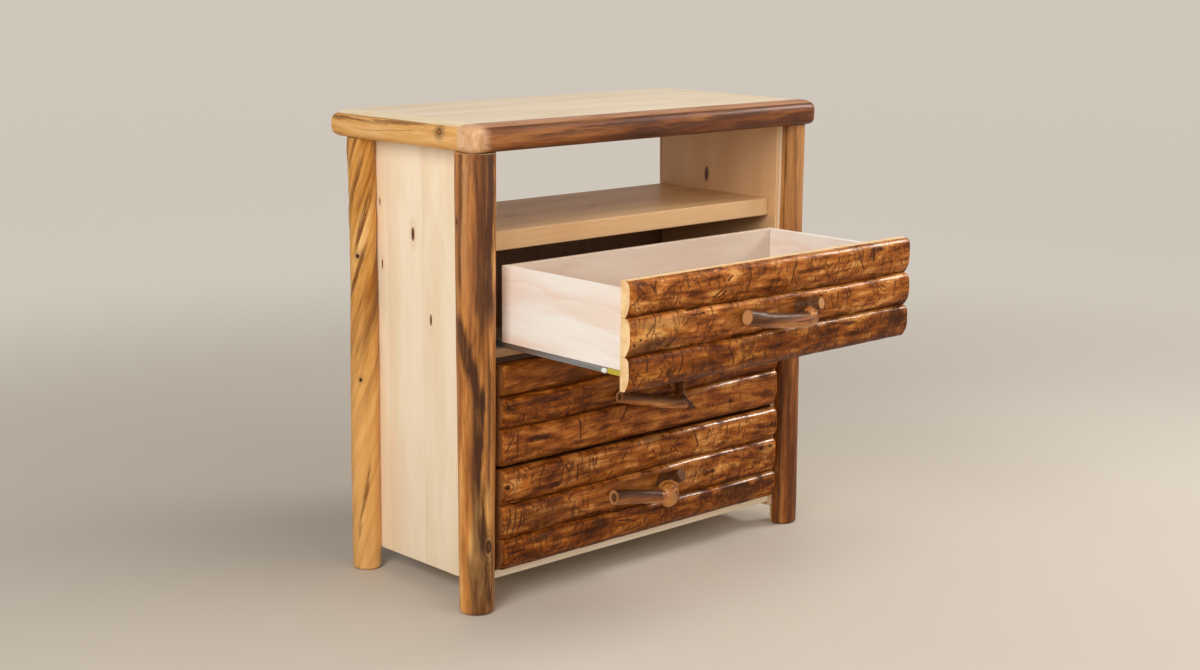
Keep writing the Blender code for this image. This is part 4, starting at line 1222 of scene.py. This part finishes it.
# Twig handles: a bar with a knob, a stub and two feet, grown together
twigShape = dict(
    steps=14, sides=40, voxel=0.001, smoothing=9, stubRoot=0.014, ballTurns=(12, 168, 11),
    braceSink=0.005, braceBend=(0.002, 0.003, 0.001, 0.0004), braceFlare=1.15, sink=0.0008,
    footFlare=1.12, grooveDepth=0.0008, grooves=(20, 150, 150), proud=0.006, barkReach=1.2,
    knobReach=1.15, cutFade=(-0.0022, -0.001), cutWide=1.05, cutDeep=0.006, branchSteps=10,
    footSteps=8, hollow=0.0032, hollowShare=0.68, hollowEnds=("lower", "middle"),
    branchDark=1.5, knobTurn=1.2, easeFactor=0.5, uprightFrom=0.2,
)
# Points are place, way out, height and radius; a foot and a brace are place, height and radius
twigs = {
    "upper": dict(
        bar=((-0.091, 0.0195, 0.007, 0.0165), (-0.045, 0.0255, -0.003, 0.016), (0.0, 0.0295, -0.01, 0.016),
             (0.045, 0.0335, -0.014, 0.016), (0.078, 0.035, -0.015, 0.016)),
        ball={"at": (0.082, 0.035, -0.013), "radius": 0.0165, "tall": 0.0175, "lean": 0.002},
        stub=(0.099, 0.048, 0.016, 0.0118), stubPale=1.0, knobBare=0.9,
        brace=(0.086, 0.006, 0.015), weather=(0.02, 9.0), feet=((-0.07, 0.003, 0.01),),
    ),
    # The middle knob is weathered grey nearly all round; that grey is partly painted shade
    "middle": dict(
        bar=((-0.085, 0.019, -0.008, 0.014), (-0.045, 0.026, -0.017, 0.014), (0.005, 0.031, -0.028, 0.014),
             (0.05, 0.035, -0.038, 0.0145), (0.08, 0.0365, -0.042, 0.0145)),
        ball={"at": (0.086, 0.0365, -0.042), "radius": 0.016, "tall": 0.0165, "lean": 0.0},
        stub=(0.112, 0.042, -0.058, 0.0095), stubPale=0.4, knobBare=-0.2,
        weather=(0.06, 3.0), feet=((-0.07, -0.008, 0.01), (0.1, -0.012, 0.0115)),
    ),
    "lower": dict(
        bar=((-0.1, 0.0205, 0.006, 0.0175), (-0.062, 0.0255, 0.002, 0.0165), (-0.02, 0.0295, -0.005, 0.0158),
             (0.022, 0.0325, -0.013, 0.0155), (0.048, 0.033, -0.018, 0.0155)),
        ball={"at": (0.055, 0.0345, -0.014), "radius": 0.0225, "tall": 0.028, "lean": 0.006},
        stub=(0.08, 0.049, 0.03, 0.014), stubPale=0.15, knobBare=1.1,
        brace=(0.067, 0.003, 0.0165), weather=(0.06, 1.0), feet=((-0.078, 0.003, 0.0105),),
    ),
}


def smoothPath(points, steps):
    path = []
    padded = np.array([points[0], *points, points[-1]])
    for index in range(len(points) - 1):
        before, start, end, after = padded[index:index + 4]
        for share in spread(0, 1, steps + 1)[:-1]:
            bend = (end - before) * share + (2 * before - 5 * start + 4 * end - after) * share ** 2
            bend = bend + (3 * start - before - 3 * end + after) * share ** 3
            path.append(start + bend / 2)
    path.append(np.array(points[-1], float))
    return np.array(path)


def straightPath(start, end, count):
    return np.array([start + (end - start) * share for share in spread(0, 1, count)])


def tubeRings(path):
    # Rings round a path of place, way out, height and radius
    centres = np.stack([path[:, 0], -path[:, 1], path[:, 2]], -1)
    run = np.gradient(centres, axis=0)
    run = run / np.linalg.norm(run, axis=1, keepdims=True)
    sideways = np.cross(run, (0.0, 0.0, 1.0))
    flat = np.linalg.norm(sideways, axis=1) < twigShape["uprightFrom"]
    sideways[flat] = np.cross(run[flat], (1.0, 0.0, 0.0))
    sideways = sideways / np.linalg.norm(sideways, axis=1, keepdims=True)
    up = np.cross(sideways, run)
    turn = spread(0, 2 * math.pi, twigShape["sides"] + 1)[None, :-1, None]
    around = sideways[:, None] * np.cos(turn) + up[:, None] * np.sin(turn)
    return centres[:, None] + around * path[:, 3][:, None, None]


def growTwig(name, routes):
    # The branches overlap as closed tubes; a voxel skin joins them into one growth
    form = bmesh.new()
    for path in routes:
        part = skinMesh("branch", tubeRings(path))
        form.from_mesh(part)
        bpy.data.meshes.remove(part)
    joined = bpy.data.meshes.new(name)
    form.to_mesh(joined)
    form.free()
    growth = putIn(name, joined)
    remesh = growth.modifiers.new("skin", "REMESH")
    remesh.mode = "VOXEL"
    remesh.voxel_size = twigShape["voxel"]
    ease = growth.modifiers.new("ease", "SMOOTH")
    ease.factor = twigShape["easeFactor"]
    ease.iterations = twigShape["smoothing"]
    graph = bpy.context.evaluated_depsgraph_get()
    mesh = bpy.data.meshes.new_from_object(growth.evaluated_get(graph))
    bpy.data.objects.remove(growth, do_unlink=True)
    mesh.name = name
    return mesh


def readPoints(mesh, name):
    values = np.zeros(len(mesh.vertices) * 3)
    mesh.vertices.foreach_get(name, values)
    return values.reshape(-1, 3)


def sawnDisc(points, end, inner):
    # The sawn disc at a branch's end: where it is, how far from its centre, and which way it faces
    tip = np.array((end[0], -end[1], end[2]))
    way = tip - np.array((inner[0], -inner[1], inner[2]))
    way = way / np.linalg.norm(way)
    offset = points - tip
    run = offset @ way
    beside = np.linalg.norm(offset - run[:, None] * way, axis=1) / end[3]
    near = (beside < twigShape["cutWide"]) * (np.abs(run) < twigShape["cutDeep"])
    mask = smooth(run, *twigShape["cutFade"]) * near
    return mask, beside, way


def buildHandle(level, material):
    shape = twigs[level]
    name = level + "_drawer_handle"
    shift = np.array([slatShape["handleShift"]])
    low = jointHeight(level, 1, shift)[0]
    high = jointHeight(level, 2, shift)[0]
    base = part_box(level + "_drawer_slat_bottom")[0].z
    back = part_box(level + "_drawer_slat_middle")[1].y
    seat = np.array((chest["middle"] + shift[0], back - slatShape["shaved"], base + (low + high) / 2))
    bar = smoothPath(shape["bar"], twigShape["steps"])
    knob = shape["ball"]
    place, out, height = knob["at"]
    turns = np.radians(spread(*twigShape["ballTurns"]))
    rises = [-math.cos(turn) for turn in turns]
    ball = [(place + knob["lean"] * rise, out, height + knob["tall"] * rise, knob["radius"] * math.sin(turn))
            for turn, rise in zip(turns, rises)]
    routes = [bar, np.array(ball)]
    tip = np.array(shape["stub"])
    root = np.array((place, out, height, twigShape["stubRoot"]))
    if "brace" in shape:
        # The branch that ends in the stub comes straight out of the slat, and the knob sits on it
        seatPlace, seatHeight, thick = shape["brace"]
        seatEnd = np.array((seatPlace, -twigShape["braceSink"], seatHeight, thick * twigShape["braceFlare"]))
        inner = (seatEnd + tip) / 2 + np.array(twigShape["braceBend"])
        branch = smoothPath([seatEnd, inner, tip], twigShape["branchSteps"])
        routes.append(straightPath(root, inner, twigShape["footSteps"]))
    else:
        inner = root
        branch = straightPath(root, tip, twigShape["branchSteps"])
    routes.append(branch)
    for footPlace, footHeight, footRadius in shape["feet"]:
        near = bar[np.argmin(np.abs(bar[:, 0] - footPlace))]
        start = np.array((*near[:3], footRadius))
        bend = np.array((footPlace, near[1] / 2, footHeight, footRadius))
        end = np.array((footPlace, -twigShape["sink"], footHeight, footRadius * twigShape["footFlare"]))
        routes.append(smoothPath([start, bend, end], twigShape["footSteps"]))
    mesh = growTwig(name + "_twig", routes)
    points = readPoints(mesh, "co")
    normals = readPoints(mesh, "normal")
    grooves = wander(points, twigShape["grooves"], (drawers.index(level) * 5, 2, 3))
    barCut, barBeside, barWay = sawnDisc(points, bar[0], bar[1])
    stubCut, stubBeside, _ = sawnDisc(points, tip, inner)
    cut = np.maximum(barCut, stubCut * shape["stubPale"])
    proud = np.clip(-points[:, 1] / twigShape["proud"], 0, 1)
    upper = normals[:, 2] - (points[:, 0] - shape["weather"][0]) * shape["weather"][1]
    # The branch is weathered dark all round
    offsets = points[:, None] * (1, -1, 1) - branch[None, :, :3]
    onBranch = np.min(np.linalg.norm(offsets, axis=2) / branch[:, 3], axis=1) < twigShape["barkReach"]
    upper = np.where(onBranch, twigShape["branchDark"], upper)
    onKnob = np.linalg.norm(points * (1, -1, 1) - knob["at"], axis=1) < knob["tall"] * twigShape["knobReach"]
    knobSide = (normals[:, 0] + normals[:, 2]) * twigShape["knobTurn"]
    upper = np.where(onKnob, knobSide - shape["knobBare"], upper)
    points = points - normals * (grooves * proud * (1 - cut) * twigShape["grooveDepth"])[:, None]
    dish = np.zeros(len(points))
    if level in twigShape["hollowEnds"]:
        dish = barCut * np.clip(1 - (barBeside / twigShape["hollowShare"]) ** 2, 0, 1)
        points = points - barWay * (dish * twigShape["hollow"])[:, None]
    mesh.vertices.foreach_set("co", (points + seat).ravel())
    paint(mesh, cut=cut, ring=np.where(barCut > stubCut, barBeside, stubBeside), upper=upper, dish=dish)
    mesh.shade_smooth()
    newPiece(name + "_twig", mesh, [material], level + "_drawer", [name])


twigLook = dict(
    shades(grey=(56, 32, 19), gold=(206, 142, 74), crack=(40, 22, 12), sawn=(202, 148, 94),
           sawnDark=(112, 62, 28)),
    satin={"Specular IOR Level": 0.15, "Coat Roughness": 0.1},
    tones=tones((104, 54, 20), (152, 88, 36), (186, 118, 54), (218, 158, 88)),
    stretch=(0.12, 1.0, 1.0), swirls=14.0, swirl=0.03, streaks=130.0, broad=45.0, cracks=90.0,
    ringCount=26.0, bump=(0.45, 0.0012),
)


def twigFinish(name, seed):
    look = twigLook
    f = Finish(name, look["satin"])
    moved = f.plus(f.place(), seed)
    drawn = f.swirled(f.times(moved, look["stretch"]), look["swirls"], look["swirl"])
    streaks = f.noise(drawn, look["streaks"], 5.0, 0.6)
    broad = f.noise(drawn, look["broad"], 3.0, 0.55)
    f.colour = f.ramp(broad * 0.55 + streaks * 0.45, look["tones"])
    upper = f.painted("upper")
    bare = f.within(upper, -1.5, -0.7)
    f.coat(bare * 0.6, look["gold"])
    weathered = f.step(upper + (streaks - 0.5) * 1.6, -0.2, 0.6)
    f.coat(weathered * 0.85, look["grey"])
    cracks = f.step(f.noise(drawn, look["cracks"], 4.0, 0.6), 0.58, 0.68) * (1 - bare)
    f.coat(cracks * 0.55, look["crack"])
    ring = f.painted("ring")
    rings = f.rings(ring * look["ringCount"] + streaks * 4.0)
    sawn = f.mix(rings * 0.45 + f.step(ring, 0.72, 1.0) * 0.5, look["sawn"], look["sawnDark"])
    f.coat(f.painted("cut"), sawn)
    # Painted shade in the hollowed end of the bar
    f.coat(f.step(f.painted("dish"), 0.1, 0.5) * 0.8, look["crack"])
    f.set({
        "Base Color": f.colour,
        "Roughness": 0.32 + streaks * 0.16,
        "Coat Weight": 0.5 - weathered * 0.46,
        "Normal": f.bump(streaks * 0.6 - cracks * 0.5, *look["bump"]),
    })
    return f.material


def buildHandles():
    for number, level in enumerate(drawers):
        buildHandle(level, twigFinish(level + "Twig", (number * 2.3, 1.7, number * 0.9)))


buildHandles()
print("handles built")


# Floor, light and camera; a lamp is its place, size, power and colour
stageLook = dict(
    shades(floor=(208, 198, 184), cloud=(201, 190, 176), glow=(191, 183, 172), dim=(112, 107, 100),
           backdrop=(202, 195, 185)),
    size=40.0,
    world=(1.0, 0.985, 0.96, 1),
    worldStrength=0.22,
    aim=(0.0, 0.1, 0.55),
    lamps={
        "key": ((-3.2, -1.3, 2.1), 2.2, 91, (1.0, 0.98, 0.96)),
        "roof": ((0.2, -1.2, 3.3), 2.4, 34, (1.0, 0.98, 0.95)),
        "fill": ((1.6, -3.6, 1.6), 3.0, 36, (1.0, 0.97, 0.94)),
        "rim": ((2.6, -0.9, 2.3), 1.0, 50, (1.0, 0.99, 0.97)),
    },
)
cameraFit = dict(
    at=(-2.84973, -2.9119, 1.3655), yaw=42.994, pitch=-11.736, roll=0.463,
    focalPixels=1911.22, imageWidth=1200, sensor=36.0,
)


def buildFloor():
    size = stageLook["size"]
    mesh = bpy.data.meshes.new("floor")
    corners = [(-size, -size, 0), (size, -size, 0), (size, size, 0), (-size, size, 0)]
    mesh.from_pydata(corners, [], [(0, 1, 2, 3)])
    floor = putIn("floor", mesh)
    f = Finish("floorPaint", {"Roughness": 0.6, "Specular IOR Level": 0.2, "Emission Strength": 1.0})
    place = f.place()
    cloud = f.noise(place, 1.2, 3.0, 0.5)
    far = f.step(f.spot(place, (0, 0, 0), (1.0, 1.0, None)), 0.8, 4.2)
    near = f.mix(cloud, stageLook["floor"], stageLook["cloud"])
    f.set({
        "Base Color": f.mix(far, near, stageLook["dim"]),
        "Emission Color": f.mix(far, (0, 0, 0, 1), stageLook["glow"]),
    })
    mesh.materials.append(f.material)


def buildWorld():
    # Soft light all round; the camera and reflections see a pale backdrop instead
    world = bpy.data.worlds.new("studio")
    bpy.context.scene.world = world
    world.use_nodes = True
    tree = world.node_tree
    light = tree.nodes["Background"]
    light.inputs["Color"].default_value = stageLook["world"]
    light.inputs["Strength"].default_value = stageLook["worldStrength"]
    backdrop = tree.nodes.new("ShaderNodeBackground")
    backdrop.inputs["Color"].default_value = stageLook["backdrop"]
    rays = tree.nodes.new("ShaderNodeLightPath")
    choice = tree.nodes.new("ShaderNodeMixShader")
    seen = rays.outputs["Is Camera Ray"]
    for ray in ("Is Glossy Ray", "Is Transmission Ray"):
        either = tree.nodes.new("ShaderNodeMath")
        either.operation = "MAXIMUM"
        tree.links.new(seen, either.inputs[0])
        tree.links.new(rays.outputs[ray], either.inputs[1])
        seen = either.outputs[0]
    for socket, source in zip(choice.inputs, (seen, light.outputs[0], backdrop.outputs[0])):
        tree.links.new(source, socket)
    tree.links.new(choice.outputs[0], tree.nodes["World Output"].inputs[0])


def buildLamps():
    for name, (at, size, power, colour) in stageLook["lamps"].items():
        lamp = bpy.data.lights.new(name, "AREA")
        lamp.shape = "DISK"
        lamp.size = size
        lamp.energy = power
        lamp.color = colour
        holder = putIn(name, lamp)
        holder.location = at
        aim = Vector(stageLook["aim"]) - Vector(at)
        holder.rotation_euler = aim.to_track_quat("-Z", "Y").to_euler()


def buildCamera():
    yaw, pitch, roll = (math.radians(cameraFit[name]) for name in ("yaw", "pitch", "roll"))
    ahead = Vector((math.sin(yaw) * math.cos(pitch), math.cos(yaw) * math.cos(pitch), math.sin(pitch)))
    level = Vector((math.cos(yaw), -math.sin(yaw), 0))
    upright = level.cross(ahead)
    right = math.cos(roll) * level + math.sin(roll) * upright
    up = math.cos(roll) * upright - math.sin(roll) * level
    lens = bpy.data.cameras.new("viewer")
    lens.sensor_fit = "HORIZONTAL"
    lens.sensor_width = cameraFit["sensor"]
    lens.lens = cameraFit["sensor"] * cameraFit["focalPixels"] / cameraFit["imageWidth"]
    holder = putIn("viewer", lens)
    turned = Matrix((right, up, -ahead)).transposed().to_4x4()
    holder.matrix_world = Matrix.Translation(cameraFit["at"]) @ turned
    bpy.context.scene.camera = holder


buildFloor()
buildWorld()
buildLamps()
buildCamera()
bpy.context.scene.view_settings.view_transform = "Standard"
print("stage and camera set")
